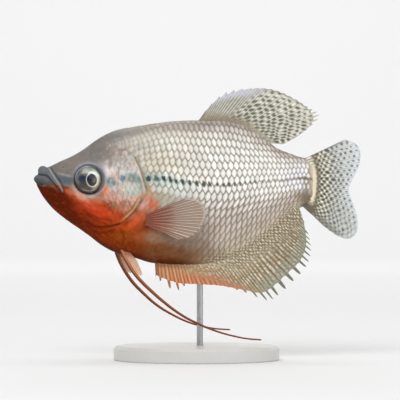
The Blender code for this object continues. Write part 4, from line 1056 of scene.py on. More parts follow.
def buildEye(word, side, material):
    rings, sectors = 44, 72
    tilt = np.linspace(0, math.pi * 0.62, rings)
    turn = np.arange(sectors) / sectors * 2 * math.pi
    t, a = np.meshgrid(tilt, turn, indexing="ij")
    away = np.sin(t)
    across, upward, out = away * np.cos(a), away * np.sin(a), np.cos(t)
    radius = eyeLook["radius"]
    qx, qh = across * radius, upward * radius
    # the iris lies a little flatter than the dome round it, and the pupil bulges
    px, ph = qx - eyeLook["pupilX"] + eyeLook["pupilLean"] * qh, qh - eyeLook["pupilH"]
    edge = np.hypot(px / eyeLook["pupilWide"], ph / eyeLook["pupilTall"])
    dome = out * eyeLook["depth"] + 0.12 * fade(1.15, 0.8, edge) - 0.1 * fade(4.4, 4.1, np.hypot(qx, qh))
    yaw = math.radians(eyeLook["yaw"])
    x = eyeX + qx * math.cos(yaw) + dome * math.sin(yaw) * 0.3
    y = float(flankY(eyeX, eyeH)) - eyeLook["sink"] + dome - qx * math.sin(yaw) * 0.6
    points = np.stack([x, side * y, eyeH + qh], axis=-1).reshape(-1, 3)
    faces = gridFaces(rings, sectors, closed=True)
    if side < 0:
        faces = faces[:, ::-1]
    faceList = [list(dict.fromkeys(f)) for f in faces.tolist()]
    faceList.append(list(range((rings - 1) * sectors, rings * sectors))[:: -side])
    qx, qh, px, ph, edge = [part.reshape(-1) for part in (qx, qh, px, ph, edge)]
    # angle 0 points towards the tail
    away = np.hypot(qx, qh)
    angle = np.arctan2(qh, qx)
    streaks = 0.5 + 0.5 * np.sin(angle * 29 + 3 * grain(angle * 3, away, 0.8, 2))
    colour = plain(qx, 118, 116, 104)
    lay(colour, rgb(88, 86, 76), 0.35 * streaks)
    fromPupil = np.hypot(px, ph)
    pupilAngle = np.arctan2(ph, px)

    def patch(shade, strength, cx, ch, wide, tall):
        lay(colour, rgb(*shade), strength * fade(1.3, 0.4, np.hypot((qx - cx) / wide, (qh - ch) / tall)))

    # airbrushed iris, lit from above and dark towards the throat
    lay(colour, rgb(142, 152, 138), 0.9 * fade(2.2, 3.2, away) * fade(0.3, 0.9, np.sin(angle + 0.2)))
    patch((80, 100, 96), 0.85, -3.0, 2.8, 1.6, 1.4)
    lay(colour, rgb(76, 70, 62), 0.85 * fade(0.1, -0.8, np.sin(angle)) * fade(1.6, 2.6, away))
    patch((52, 42, 40), 0.8, -1.9, -2.0, 1.8, 1.1)
    patch((60, 52, 46), 0.6, 0.2, -3.3, 1.1, 0.5)
    patch((146, 122, 110), 0.75, -1.9, 2.5, 1.5, 0.75)
    patch((10, 14, 24), 0.95, -1.6, -0.1, 1.5, 1.5)
    patch((20, 34, 66), 0.95, -2.5, 0.2, 1.3, 1.5)
    lay(colour, rgb(236, 226, 194), 0.9 * hump(away - 3.3, 0.7) * fade(0.1, 0.7, np.cos(angle)))
    lay(colour, rgb(140, 132, 112), 0.7 * fade(3.8, 4.2, away) * fade(-0.1, 0.5, np.cos(angle)))
    # painted highlight: a white glint arching over the pupil, towards the tail
    gleam = fade(0.4, 0.9, np.cos(pupilAngle - 1.25))
    lay(colour, rgb(244, 248, 252), 0.98 * hump(fromPupil - 2.65, 0.42) * gleam)
    lay(colour, rgb(196, 186, 168), 0.7 * hump(away - 4.0, 0.22) * fade(0.6, 0.95, np.cos(angle + 1.5)))
    # darker rim, pale towards the snout, lightened above towards the tail with painted light, and nearly
    # black below it with painted shade
    layAll(colour, [
        ((92, 90, 96), 0.9 * fade(4.15, 4.5, away)),
        ((112, 122, 124), 0.85 * fade(4.1, 4.5, away) * fade(0.0, 0.7, np.cos(angle - 2.5))),
        ((76, 84, 84), 0.7 * hump(away - 4.35, 0.15) * fade(-0.2, 0.6, np.sin(angle))),
        ((34, 26, 20), 0.9 * fade(3.7, 4.6, away) * fade(0.4, 0.9, np.cos(angle + 2.1))),
        ((158, 156, 160), 0.85 * fade(4.3, 4.7, away) * fade(0.1, 0.8, np.cos(angle - 0.7))),
        ((150, 136, 134), 0.8 * fade(4.2, 4.6, away) * fade(0.5, 0.95, np.cos(angle + 0.9))),
        ((160, 160, 172), 0.75 * fade(4.5, 4.8, away) * fade(0.0, 0.4, np.sin(angle))),
    ])
    # painted highlight: a white glint on the iris above the pupil, towards the tail
    patch((252, 253, 255), 1.0, 1.75, 1.9, 1.2, 0.65)
    # pupil with its bright ring
    layAll(colour, [
        ((48, 46, 46), 0.6 * hump((edge - 1.34) * 2, 0.14) * fade(0.3, -0.4, np.cos(pupilAngle - 0.6))),
        ((236, 234, 226), 0.95 * hump((edge - 1.13) * 2, 0.16)),
        ((2, 3, 8), fade(1.05, 0.95, edge)),
    ])
    inPupil = fade(1.0, 0.85, edge)
    lay(
        colour, rgb(140, 118, 88),
        0.8 * inPupil * fade(1.2, 0.2, np.hypot((px - 0.75) / 1.1, (ph + 0.2) / 1.6))
    )
    lay(
        colour, rgb(62, 84, 122),
        0.7 * inPupil * fade(1.2, 0.2, np.hypot((px + 0.2) / 1.3, (ph - 1.1) / 1.2))
    )
    made = makePiece(f"eyeball_{word}", points, faceList, material, colour)
    finishPiece(made, "eye_gloss", f"eye_{word}")
    print("eye", word)


# fins

dorsalRays = [
    (58.1, 21.0, 60.0, 23.7, 1.2), (60.6, 21.0, 64.6, 28.2, 1.6), (63.4, 21.0, 69.8, 30.7, 1.3),
    (66.9, 20.8, 76.0, 32.0, 0.2), (70.7, 20.2, 83.4, 31.8, 0.1), (74.2, 19.1, 90.2, 29.2, 0.1),
    (77.4, 17.4, 95.8, 25.6, 0.4), (79.8, 15.8, 98.3, 22.2, 2.4), (81.7, 14.5, 97.2, 19.2, 1.0),
    (83.1, 13.5, 93.0, 15.6, 0.1), (84.1, 12.8, 87.6, 12.5, 0.1),
]
analRays = [
    (42.7, -29.4, 42.9, -33.2, 1.5), (44.2, -29.5, 44.5, -34.0, 1.9), (46.6, -29.7, 47.5, -35.1, 3.5),
    (49.0, -29.9, 50.4, -36.0, 3.3), (51.2, -30.0, 52.7, -36.3, 1.4), (53.4, -30.1, 55.4, -36.4, 0.4),
    (55.9, -30.1, 58.6, -36.6, 0.1), (60.6, -29.7, 65.4, -37.0, 0.2), (66.2, -28.6, 73.9, -38.6, 1.6),
    (69.9, -27.6, 79.8, -39.6, 3.9), (74.3, -25.5, 83.7, -37.7, 4.0), (78.8, -22.5, 88.9, -33.0, 3.9),
    (83.0, -19.1, 93.5, -28.5, 3.5), (86.8, -15.6, 95.6, -23.2, 2.9), (90.2, -12.4, 95.4, -17.9, 2.0),
    (93.2, -10.0, 93.9, -11.6, 0.1),
]
tailRays = [
    (96.6, 8.25, 109.2, 14.2, 0.0), (97.0, 7.3, 112.8, 12.8, 0.0), (97.6, 5.4, 114.5, 10.1, 0.0),
    (98.0, 3.6, 114.4, 6.2, 0.0), (98.3, 1.8, 113.2, 2.8, 0.0), (98.4, 0.0, 111.4, -0.7, 0.0),
    (98.35, -1.7, 110.5, -3.5, 0.0), (98.25, -3.3, 111.4, -6.5, 0.0), (98.0, -4.9, 112.8, -10.4, 0.0),
    (97.7, -6.4, 113.6, -14.6, 0.0), (97.35, -7.8, 113.3, -18.1, 0.0), (96.95, -8.9, 111.0, -20.5, 0.0),
    (96.4, -9.5, 107.0, -19.8, 0.0), (95.9, -9.7, 102.3, -16.6, 0.0), (95.4, -9.75, 98.4, -12.9, 0.0),
    (94.9, -9.75, 95.6, -10.4, 0.0),
]
pectoralRays = [
    (41.0, -11.5, 53.0, -6.5, 0.0), (41.0, -12.1, 57.1, -6.9, 0.0), (41.0, -12.7, 59.7, -8.4, 0.0),
    (41.0, -13.3, 60.6, -10.7, 0.0), (41.0, -13.9, 60.4, -13.0, 0.0), (41.0, -14.5, 59.4, -15.4, 0.0),
    (40.9, -15.1, 57.6, -18.0, 0.0), (40.7, -15.6, 54.8, -19.8, 0.0), (40.5, -16.1, 51.3, -20.7, 0.0),
]
finLook = {
    "material": {"roughness": (0.38, 0.55), "coat": 0.15, "coatRoughness": 0.2, "bump": 0.25, "mottle": 0.07,
                 "bumpScale": 2400.0, "mottleScale": 1300.0},
    # what a fin has where it names nothing else
    "form": {"rows": 44, "gather": 0.0, "root": 0.0, "bow": 0.0, "scallop": 0.03, "spikeHalf": 0.24,
             "spikePower": 0.8, "spikeFrom": 0.15, "split": 0.5, "fork": 0.17, "rayHalf": 0.15,
             "skinHalf": 0.14, "rootHalf": 0.5, "ridge": 0.15},
}


def finForm(keys, counts, form):
    # where each point of a fin lies, with its place between the rays and its way out along them
    form = {**finLook["form"], **form}
    shares = [0.0]
    for i, count in enumerate(counts):
        shares += [(i + (k + 1) / count) / len(counts) for k in range(count)]
    shares = np.array(shares)
    steps, rows = form["across"], form["rows"]
    even = np.arange(steps) / steps
    even = even - form["gather"] * np.sin(even * 2 * math.pi) / (2 * math.pi)
    phase = np.concatenate([even + i for i in range(len(shares) - 1)] + [[len(shares) - 1]])
    u = np.interp(phase, np.arange(len(shares)), shares)
    key = along(keys, u)
    nearRay = np.round(phase)
    off = phase - nearRay
    reach = along(keys, np.interp(nearRay, np.arange(len(shares)), shares))[:, 4]
    length = np.hypot(key[:, 2] - key[:, 0], key[:, 3] - key[:, 1])
    spike = np.maximum(1 - np.abs(off) / form["spikeHalf"], 0) ** form["spikePower"]
    reach = np.maximum(reach - form["spikeFrom"], 0)
    limit = 1 - form["scallop"] * (2 * np.abs(off)) ** 1.4 + reach / length * spike
    v = np.concatenate([[-form["root"]], np.linspace(0, 1, rows)])
    vv = v[None, :] * np.where(v[None, :] > 0, limit[:, None], 1.0)
    dx, dh = (key[:, 2] - key[:, 0])[:, None], (key[:, 3] - key[:, 1])[:, None]
    ratio = np.where(vv < 0, -vv / length[:, None], 0)
    vv = np.where(vv < 0, 0, vv)
    swing = form["bow"] * np.sin(math.pi * np.minimum(vv, 1))
    x = key[:, :1] + dx * (vv - ratio) - dh / length[:, None] * swing
    h = key[:, 1:2] + dh * (vv - ratio) + dx / length[:, None] * swing
    # each ray splits in two on the way out
    part = fade(form["split"], form["split"] + 0.25, vv) * form["fork"]
    twins = np.minimum(np.abs(np.abs(off)[:, None] - part), np.abs(off)[:, None] + part)
    ray = hump(twins, form["rayHalf"])
    half = form["rootHalf"] + (form["skinHalf"] - form["rootHalf"]) * fade(0, 0.4, vv)
    half = half + form["ridge"] * ray * (1 - 0.45 * vv)
    half = half * (1 - 0.75 * fade(0.95, 1.0, vv / limit[:, None]))
    facts = {
        "u": np.repeat(u, len(v)), "off": np.repeat(off, len(v)), "phase": np.repeat(phase, len(v)),
        "out": (vv * length[:, None]).reshape(-1), "share": (vv / limit[:, None]).reshape(-1),
        "vv": vv.reshape(-1), "rayness": ray.reshape(-1),
    }
    return x, h, half, facts, len(u), len(v)


def buildFin(name, keys, counts, form, painter, put, material, slotName, *nodes):
    x, h, half, facts, columns, rows = finForm(keys, counts, form)
    x, h, half = x.reshape(-1), h.reshape(-1), half.reshape(-1)
    facts["x"], facts["h"] = x, h
    front, behind = put(x, h, -half), put(x, h, half)
    count = len(x)
    faces = gridFaces(columns, rows)
    other = faces[:, ::-1] + count
    edge = np.arange(columns) * rows + rows - 1
    rim = [[edge[k], edge[k + 1], edge[k + 1] + count, edge[k] + count] for k in range(columns - 1)]
    for column, flip in ((0, 1), (columns - 1, -1)):
        line = column * rows + np.arange(rows)
        rim += [[line[k], line[k + 1], line[k + 1] + count, line[k] + count][::flip] for k in range(rows - 1)]
    colour = painter(facts)
    faceList = faces.tolist() + other.tolist() + [[int(i) for i in f] for f in rim]
    made = makePiece(
        name, np.concatenate([front, behind]), faceList, material, np.concatenate([colour, colour])
    )
    finishPiece(made, slotName, *nodes)
    print("fin", name, len(faceList), "faces")


def cellMarks(f, pitch, wide, tall, start=0.0, ragged=0.5, tight=1.0):
    # marks between the rays at a pitch along them, staggered and pushed about a little
    pushed = ragged * (grain(f["x"], f["h"], 2.0, 31) - 0.5)
    phase = f["phase"] * tight + 0.8 * pushed
    between = np.floor(phase)
    centre = phase - between - 0.5
    place = f["out"] / pitch + 0.5 * (between % 2) + start + ragged * (grain(f["x"], f["h"], 2.0, 37) - 0.5)
    cell = np.floor(place)
    down = (place - cell - 0.5) * pitch
    size = 1 + 1.2 * ragged * (grain(between * 5.3 + 0.5, cell * 3.1 + 0.5, 1.0, 7) - 0.5)
    return np.hypot(centre / wide, down / tall) / size


def inPlane(x, h, out):
    return np.stack([x, out, h], axis=-1)


def paintDorsal(f):
    u, off, out, share, phase = [f[key] for key in ("u", "off", "out", "share", "phase")]
    colour = plain(f["x"], 196, 192, 174)
    rear = fade(-0.04, 0.06, u - 0.3 - 0.07 * share)
    fine = fromWhole(phase * 2)
    flecks = fade(1.2, 0.6, cellMarks(f, 2.2, 0.4, 0.7, ragged=0.6))
    layAll(colour, [
        ((186, 185, 176), 0.8 * (1 - rear)),
        ((112, 106, 88), 0.5 * hump(np.abs(off) - 0.2, 0.09) * fade(15, 5, out)),
        ((222, 220, 204), 0.6 * rear * hump(fine, 0.16)),
        ((132, 128, 116), 0.75 * (1 - rear) * hump(fine - 0.5, 0.2)),
        ((150, 146, 132), 0.6 * (1 - rear) * flecks * fade(0.9, 0.6, share)),
        ((224, 224, 216), 0.6 * (1 - rear) * hump(fine, 0.14)),
        ((240, 239, 226), 0.92 * rear * fade(1.3, 0.5, cellMarks(f, 2.35, 0.44, 0.8, start=0.5, ragged=0.6))),
    ])
    spots = cellMarks(f, 2.35, 0.4, 0.72, ragged=0.6)
    spots = spots / np.interp(share, [0.1, 0.5, 0.8, 0.97], [1.25, 1.1, 0.95, 0.7])
    layAll(colour, [
        ((84, 81, 68), 0.86 * rear * fade(1.25, 0.5, spots) * fade(0.4, 1.4, out)),
        ((102, 97, 80), 0.4 * rear * hump(fine - 0.5, 0.13) * fade(1.0, 0.8, share)),
        ((216, 213, 192), 0.4 * hump(off, 0.08)),
        ((138, 122, 96), 0.8 * fade(4.2, 0.5, out) * fade(0.75, 0.35, u)),
        ((146, 134, 112), 0.5 * fade(1.4, 0.2, out)),
    ])
    lilac = fade(0.46, 0.26, u) * fade(0.04, 0.14, u)
    layAll(colour, [
        ((204, 204, 220), 0.85 * fade(0.66, 0.9, share) * lilac),
        ((128, 122, 116), 0.7 * fade(0.94, 1.0, share) * (1 - lilac)),
        ((120, 114, 112), 0.7 * fade(0.93, 1.0, share) * fade(0.24, 0.12, u)),
        ((118, 112, 108), 0.6 * fade(0.05, 0.0, u)),
    ])
    return colour


def paintAnal(f):
    u, off, out, share, phase, vv = [f[key] for key in ("u", "off", "out", "share", "phase", "vv")]
    colour = plain(f["x"], 188, 168, 134)
    way = np.interp(u * 15, [0, 3, 7, 15], [0, 2.05, 4, 12]) / 12
    lay(colour, rgb(154, 141, 114), fade(0.5, 0.85, way))
    rear = fade(0.29, 0.54, way + 0.16 * (1 - share))
    thin = fromWhole(phase * 2) / 2
    layAll(colour, [
        ((202, 134, 84), 0.95 * (1 - rear)),
        ((198, 164, 112), 0.7 * (1 - rear) * fade(0.14, 0.3, way) * fade(0.6, 0.2, share)),
        ((222, 98, 62), 0.65 * fade(0.5, 0.2, way) * fade(0.08, 0.18, way) * fade(0.35, 0.9, share)),
        ((226, 182, 138), 0.75 * (1 - rear) * hump(off, 0.1)),
        ((132, 72, 40), 0.65 * (1 - rear) * hump(np.abs(off) - 0.25, 0.08)),
        ((214, 160, 112), 0.6 * (1 - rear) * hump(np.abs(off) - 0.5, 0.1)),
        ((128, 70, 34), 0.8 * fade(0.08, 0.0, way)),
    ])
    # the flank's scales run out over the fin's root
    root = rear * fade(6.0, 1.0, out) * fade(0.36, 0.5, way)
    net = rear * fade(0.94, 0.7, share)
    gaps = cellMarks(f, 1.6, 0.36, 0.5, start=0.5, ragged=1.3, tight=2)
    layAll(colour, [
        ((112, 94, 66), 0.5 * net * fade(1.0, 0.5, gaps)),
        ((238, 230, 206), 0.9 * net * fade(1.25, 0.4, cellMarks(f, 1.6, 0.36, 0.66, ragged=1.3, tight=2))),
        ((92, 76, 54), net * hump(thin, 0.11) * np.interp(share, [0.1, 0.5], [0.35, 0.85])),
    ])
    layBeads(colour, f["x"], f["h"], 0.8 * root, 0.85 * root)
    margin = rear * fade(0.66, 0.86, share) * fade(0.45, 0.6, way)
    lay(colour, rgb(170, 170, 154), 0.8 * margin)
    blotch = beadMarks(f["x"], f["h"], 1.5)
    layAll(colour, [
        ((206, 208, 196), 0.6 * margin * fade(0.7, 0.2, blotch)),
        ((132, 130, 108), 0.5 * margin * fade(0.6, 1.0, blotch)),
        ((110, 106, 84), 0.65 * rear * hump(thin, 0.09) * fade(0.6, 0.8, share)),
    ])
    tip = fade(0.98, 1.02, vv)
    layAll(colour, [
        ((112, 112, 94), 0.85 * tip * rear),
        ((150, 84, 52), 0.7 * tip * (1 - rear)),
        ((116, 80, 50), 0.6 * fade(1.4, 0.2, out) * (1 - rear)),
    ])
    return colour


def paintTail(f):
    u, off, out, share = [f[key] for key in ("u", "off", "out", "share")]
    colour = plain(f["x"], 206, 202, 182)
    outer = fade(4.0, 11.0, out)
    layAll(colour, [
        ((234, 240, 243), 0.9 * outer * fade(0.75, 0.45, u)),
        ((190, 194, 190), 0.8 * outer * fade(0.45, 0.75, u)),
        # painted shadow at the root of the lower lobe
        ((96, 86, 66), 0.8 * fade(3.8, 0.6, out) * fade(0.62, 0.8, u)),
    ])
    far = fade(4.0, 9.0, out)
    pale = fade(1.2, 0.6, cellMarks(f, 1.9, 0.44, 0.6, start=0.5, ragged=0.45))
    layAll(colour, [
        ((246, 243, 226), 0.95 * pale * (1 - far)),
        ((230, 238, 242), 0.8 * pale * far),
        ((92, 84, 64), 0.85 * hump(off, 0.09) * fade(14.0, 7.0, out)),
        ((122, 120, 108), 0.5 * hump(off, 0.07)),
        ((118, 114, 96), 0.55 * hump(np.abs(off) - 0.25, 0.05) * far * fade(1.0, 0.8, share)),
        ((126, 124, 110), 0.5 * hump(np.abs(off) - 0.5, 0.05) * far * fade(1.0, 0.8, share)),
    ])
    spots = cellMarks(f, 1.9, 0.32, 0.56, ragged=0.45) / np.interp(out, [2, 8, 15], [1.25, 0.95, 0.7])
    spotColour = plain(f["x"], 60, 57, 46)
    lay(spotColour, rgb(84, 86, 82), far)
    lay(colour, spotColour, 0.92 * fade(1.2, 0.65, spots) * fade(0.3, 1.6, out))
    # painted shadow at the root of the lower lobe
    lay(colour, rgb(92, 80, 58), 0.75 * fade(4.5, 1.0, out) * fade(0.6, 0.8, u))
    lay(colour, rgb(206, 210, 222), 0.55 * fade(0.9, 0.99, share))
    edge = np.maximum(fade(0.04, 0.0, u), fade(0.72, 0.8, u) * 0.8)
    lay(colour, rgb(112, 108, 98), 0.7 * edge * fade(1.0, 0.85, share))
    lay(colour, rgb(116, 102, 74), 0.75 * hump(out - 1.5, 0.7))
    cream = fade(1.0, 0.6, out) * fade(0.08, 0.2, u) * fade(0.72, 0.6, u)
    lay(colour, rgb(242, 230, 206), 0.95 * cream)
    return colour


def paintPectoral(f):
    u, off, out, share, phase = [f[key] for key in ("u", "off", "out", "share", "phase")]
    colour = plain(f["x"], 146, 116, 96)
    layAll(colour, [
        ((150, 134, 118), 0.85 * fade(7.0, 14.0, out)),
        ((160, 74, 48), 0.9 * fade(10.0, 1.5, out)),
        ((176, 160, 146), 0.6 * hump(np.abs(off) - 0.5, 0.12) * fade(4.0, 10.0, out)),
        ((78, 42, 30), 0.9 * hump(np.abs(off) - 0.26, 0.09) * fade(16.0, 5.0, out)),
        ((112, 90, 76), 0.45 * hump(np.abs(off) - 0.26, 0.08)),
        ((222, 192, 172), 0.9 * hump(off, 0.11) * fade(1.0, 9.0, out)),
    ])
    # near the root only every second line can be told apart
    pair = fromWhole(phase / 2)
    layAll(colour, [
        ((70, 34, 24), 0.8 * hump(pair - 0.5, 0.09) * fade(10.0, 6.0, out) * fade(0.4, 1.6, out)),
        ((206, 136, 110), 0.6 * hump(pair, 0.13) * fade(10.0, 6.0, out) * fade(0.4, 1.6, out)),
        ((232, 192, 168), 0.5 * hump(off, 0.15) * fade(0.6, 0.9, u) * fade(2.0, 5.0, out)),
        ((206, 196, 180), 0.75 * fade(0.95, 0.985, share) * fade(0.75, 0.55, u)),
        ((104, 60, 40), 0.8 * fade(0.96, 1.0, u) * fade(9.0, 5.0, out)),
    ])
    return colour


def buildFins():
    material = paintMaterial("finSkin", finLook["material"])
    buildFin(
        "dorsal", dorsalRays, [2, 2, 2, 3, 3, 3, 3, 2, 2, 1],
        {"root": 1.4, "scallop": 0.02, "rootHalf": 0.7, "split": 0.45, "across": 16},
        paintDorsal, inPlane, material, "fin_skin", "dorsal_fin",
    )
    buildFin(
        "anal", analRays, [1, 1, 1, 1, 1, 1, 2, 3, 2, 2, 2, 2, 3, 3, 2],
        {"root": 1.6, "scallop": 0.02, "rootHalf": 0.7, "split": 0.6, "spikeHalf": 0.18, "spikePower": 0.3,
         "across": 18, "gather": 0.6, "spikeFrom": 0.5},
        paintAnal, inPlane, material, "fin_skin", "anal_fin",
    )
    buildFin(
        "tail", tailRays, [1, 2, 2, 2, 2, 2, 2, 2, 2, 2, 2, 2, 1, 1, 1],
        {"root": 1.2, "scallop": 0.008, "rootHalf": 0.75, "split": 0.3, "across": 14},
        paintTail, inPlane, material, "fin_skin", "tail_fin",
    )
    rootX, rootH, reach = 41.0, -13.9, 19.4
    rootY = float(flankY(rootX, rootH))
    for word, side in (("left", -1), ("right", 1)):
        def put(x, h, out, side=side):
            share = (x - rootX) / reach
            y = rootY + 0.35 + 2.6 * share + 0.5 * np.sin(math.pi * np.clip(share, 0, 1))
            return np.stack([x, side * (y + out * -side), h], axis=-1)

        buildFin(
            "pectoral_" + word, pectoralRays, [1, 2, 2, 2, 2, 2, 2, 1],
            {"root": 1.2, "rootHalf": 0.4, "skinHalf": 0.1, "ridge": 0.13, "bow": 0.1, "split": 0.7,
             "fork": 0.08, "across": 16},
            paintPectoral, put, material, "fin_skin", "pectoral_fin_" + word,
        )


# feelers

leftFeeler = [
    (30.8, -1.9, -23.6), (31.9, -2.2, -26.4), (33.3, -2.5, -28.9), (34.7, -2.7, -31.3), (36.4, -2.9, -33.6),
    (38.9, -3.1, -36.3), (42.0, -3.3, -39.2), (45.2, -3.5, -42.0), (49.4, -3.7, -45.3), (53.6, -3.9, -48.0),
    (57.8, -3.9, -50.1), (62.0, -3.9, -51.9), (67.4, -3.8, -53.7), (74.1, -3.6, -55.2), (79.5, -3.3, -55.7),
]
rightFeeler = [
    (28.4, 1.9, -22.9), (29.2, 2.1, -25.6), (30.3, 2.5, -28.5), (31.9, 3.0, -31.6), (33.8, 3.6, -34.6),
    (35.9, 4.2, -37.2), (38.9, 4.8, -40.2), (41.7, 5.3, -42.8), (45.2, 5.8, -45.4), (49.4, 6.1, -47.8),
    (53.6, 6.3, -49.8), (57.8, 6.3, -51.2), (62.0, 6.2, -52.1), (65.2, 6.0, -52.5), (68.8, 5.8, -52.7),
]
leftVane = [
    (31.7, -24.9, 34.6, -31.2, 0.0), (32.4, -25.0, 36.7, -33.3, 0.2), (33.0, -25.1, 38.4, -33.1, 0.3),
    (33.6, -25.2, 37.9, -31.4, 0.0), (34.2, -25.4, 36.6, -28.3, 0.0),
]
rightVane = [
    (29.4, -24.8, 32.2, -32.0, 0.0), (30.1, -25.0, 33.5, -32.6, 0.2), (30.8, -25.2, 34.3, -32.6, 0.2),
    (31.4, -25.3, 33.1, -29.6, 0.0),
]
feelerLook = {
    "root": 0.66, "tip": 0.27, "ring": 0.9,
    "material": {"roughness": (0.3, 0.45), "coat": 0.06, "coatRoughness": 0.12, "specular": 0.15, "bump": 0.2,
                 "mottle": 0.1, "mottleScale": 1600.0},
}


def buildFeeler(word, path, vane, material):
    u = np.linspace(0, 1, 260)
    rows = along(path, u)
    way = np.concatenate([[0], np.cumsum(np.linalg.norm(np.diff(rows, axis=0), axis=1))])
    radius = feelerLook["root"] + (feelerLook["tip"] - feelerLook["root"]) * fade(0, way[-1], way)
    radius = radius * (1 + 0.05 * np.sin(way * 2 * math.pi / feelerLook["ring"]))
    sides = 20
    points, faces = tubeShell(np.column_stack([rows, radius]), sides, pointed=True)

    def onRings(values):
        # one value for each point of the tube, and one for its tip
        return np.concatenate([np.repeat(values, sides), values[-1:]])

    wayAll = onRings(way)
    # painted shade: the underside of the feeler is darkened
    under = fade(0.25, -0.35, (points[:, 2] - onRings(rows[:, 2])) / onRings(radius))
    colour = plain(points, 166, 92, 54)
    layAll(colour, [
        ((204, 146, 108), 0.6 * fade(14, 4, wayAll)),
        ((84, 36, 12), 0.92 * under),
        ((118, 66, 42), 0.5 * fade(20, 45, wayAll)),
    ])
    # painted highlight on the upper side of each ring's crest
    crestHighlight = fade(0.55, 1.0, np.sin(wayAll * 2 * math.pi / feelerLook["ring"]))
    lay(colour, rgb(226, 176, 146), 0.4 * (1 - under) * crestHighlight * fade(30, 10, wayAll))
    made = makePiece("feeler_" + word, points, faces, material, colour)
    finishPiece(made, "feeler_skin", "pelvic_fin_" + word, f"feeler_{word}_middle", f"feeler_{word}_tip")
    order = np.argsort([p[2] for p in path])
    heights, across = np.array([path[i][2] for i in order]), np.array([path[i][1] for i in order])

    def put(x, h, out):
        return np.stack([x, np.interp(h, heights, across) + out, h], axis=-1)

    def paintVane(f):
        off, out, share, rayness = [f[key] for key in ("off", "out", "share", "rayness")]
        colour = plain(f["x"], 218, 176, 146)
        layAll(colour, [
            ((240, 212, 190), 0.7 * rayness),
            ((150, 100, 78), 0.5 * hump(np.abs(off) - 0.4, 0.1)),
            ((150, 84, 56), 0.7 * fade(3.4, 0.5, out)),
            ((236, 204, 180), 0.5 * fade(0.8, 1.0, share)),
        ])
        return colour

    buildFin(
        "pelvic_vane_" + word, vane, [2] * (len(vane) - 1),
        {"rootHalf": 0.35, "skinHalf": 0.12, "ridge": 0.1, "scallop": 0.05, "across": 8, "rows": 26,
         "spikeHalf": 0.4},
        paintVane, put, material, "feeler_skin",
    )
    print("feeler", word)


# stand

standLook = {
    "base": {"colour": (214, 213, 209), "roughness": (0.35, 0.48), "coat": 0.25, "coatRoughness": 0.2,
             "bump": 0.15, "mottle": 0.015, "mottleScale": 160.0, "bumpScale": 1800.0},
    "rod": {"colour": (176, 177, 178), "metallic": 1.0, "roughness": (0.26, 0.32), "bump": 0.08,
            "mottle": 0.015, "bumpScale": 5000.0, "stretch": (1.0, 1.0, 0.02)},
}


def dressStand():
    for node, key in (("stand_base", "base"), ("stand_rod", "rod")):
        material = paintMaterial("stand_" + key, standLook[key])
        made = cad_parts[node]
        for slotIndex in range(len(made.material_slots)):
            made.material_slots[slotIndex].material = material
    print("stand dressed")


# studio

studioLook = {
    "floor": (242, 242, 242), "world": 0.5, "key": 3.6, "fill": 1.2, "top": 1.6, "wall": 7.9, "behind": 2.7
}


def plainMaterial(name, colour, glow):
    material = bpy.data.materials.new(name)
    material.use_nodes = True
    shader = material.node_tree.nodes["Principled BSDF"]
    shader.inputs["Base Color"].default_value = (*linear(rgb(*colour)), 1)
    shader.inputs["Roughness"].default_value = 0.9
    shader.inputs["Specular IOR Level"].default_value = 0.1
    shader.inputs["Emission Color"].default_value = (*linear(rgb(*colour)), 1)
    shader.inputs["Emission Strength"].default_value = glow
    return material


def areaLight(name, place, aim, size, power):
    data = bpy.data.lights.new(name, "AREA")
    data.shape = "RECTANGLE"
    data.size, data.size_y = size
    data.energy = power
    lamp = bpy.data.objects.new(name, data)
    lamp.location = place
    lamp.rotation_mode = "QUATERNION"
    lamp.rotation_quaternion = (Vector(aim) - Vector(place)).to_track_quat("-Z", "Y")
    scene.collection.objects.link(lamp)


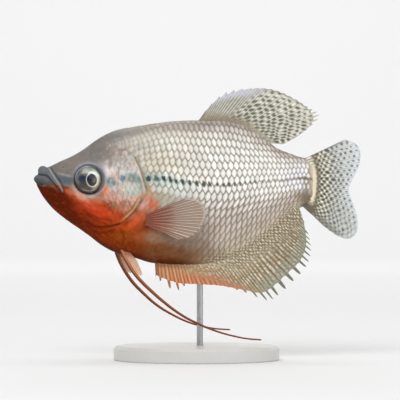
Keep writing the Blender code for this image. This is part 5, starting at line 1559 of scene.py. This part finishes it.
def buildStudio():
    # floor that sweeps up into the backdrop
    rows = [(-1.6, 0.0)] + [(y, 0.0) for y in (-0.8, 0.0, 0.8, 1.4)]
    rows += [(1.4 + 0.6 * math.sin(a), 0.6 - 0.6 * math.cos(a)) for a in np.linspace(0.1, math.pi / 2, 14)]
    rows += [(2.0, 2.6)]
    points = [(x, y, z) for y, z in rows for x in (-2.4, 2.4)]
    mesh = bpy.data.meshes.new("floor")
    mesh.from_pydata(points, [], [(2 * k, 2 * k + 1, 2 * k + 3, 2 * k + 2) for k in range(len(rows) - 1)])
    mesh.materials.append(plainMaterial("paper", studioLook["floor"], 0.0))
    mesh.shade_smooth()
    floor = bpy.data.objects.new("floor", mesh)
    scene.collection.objects.link(floor)
    world = bpy.data.worlds.new("studio")
    world.use_nodes = True
    world.node_tree.nodes["Background"].inputs["Color"].default_value = (1, 1, 1, 1)
    world.node_tree.nodes["Background"].inputs["Strength"].default_value = studioLook["world"]
    scene.world = world
    areaLight("key", (-0.25, -0.7, 0.75), (0, 0, 0.06), (0.6, 0.45), studioLook["key"])
    areaLight("fill", (0.6, -0.6, 0.2), (0, 0, 0.06), (0.5, 0.5), studioLook["fill"])
    areaLight("top", (0.0, 0.15, 0.8), (0, 0, 0.06), (0.7, 0.4), studioLook["top"])
    areaLight("wall", (0, 1.0, 1.0), (0, 2.0, 0.8), (2.0, 0.3), studioLook["wall"])
    areaLight("behind", (0, 0.85, 0.55), (0, 0.85, 0), (2.4, 0.3), studioLook["behind"])
    data = bpy.data.cameras.new("camera")
    data.lens, data.sensor_width = 200, 36
    data.clip_start, data.clip_end = 0.05, 20
    camera = bpy.data.objects.new("camera", data)
    camera.location = (0.0012, -0.7778, 0.056)
    camera.rotation_euler = (math.pi / 2, 0, 0)
    scene.collection.objects.link(camera)
    scene.camera = camera
    scene.view_settings.view_transform = "Standard"
    print("studio ready")


buildStudio()
skinMaterial = paintMaterial("skin", skinLook["material"])
buildSkin()
scaleMaterial = paintMaterial("scale", scaleLook["material"])
dullMaterial = paintMaterial("dull_scale", {**scaleLook["material"], "coat": 0.07, "specular": 0.15})
for word, side in (("left", -1), ("right", 1)):
    buildScales(word, side)
eyeMaterial = paintMaterial("eye", eyeLook["material"])
for word, side in (("left", -1), ("right", 1)):
    buildEye(word, side, eyeMaterial)
buildFins()
feelerMaterial = paintMaterial("feeler", feelerLook["material"])
buildFeeler("left", leftFeeler, leftVane, feelerMaterial)
buildFeeler("right", rightFeeler, rightVane, feelerMaterial)
dressStand()
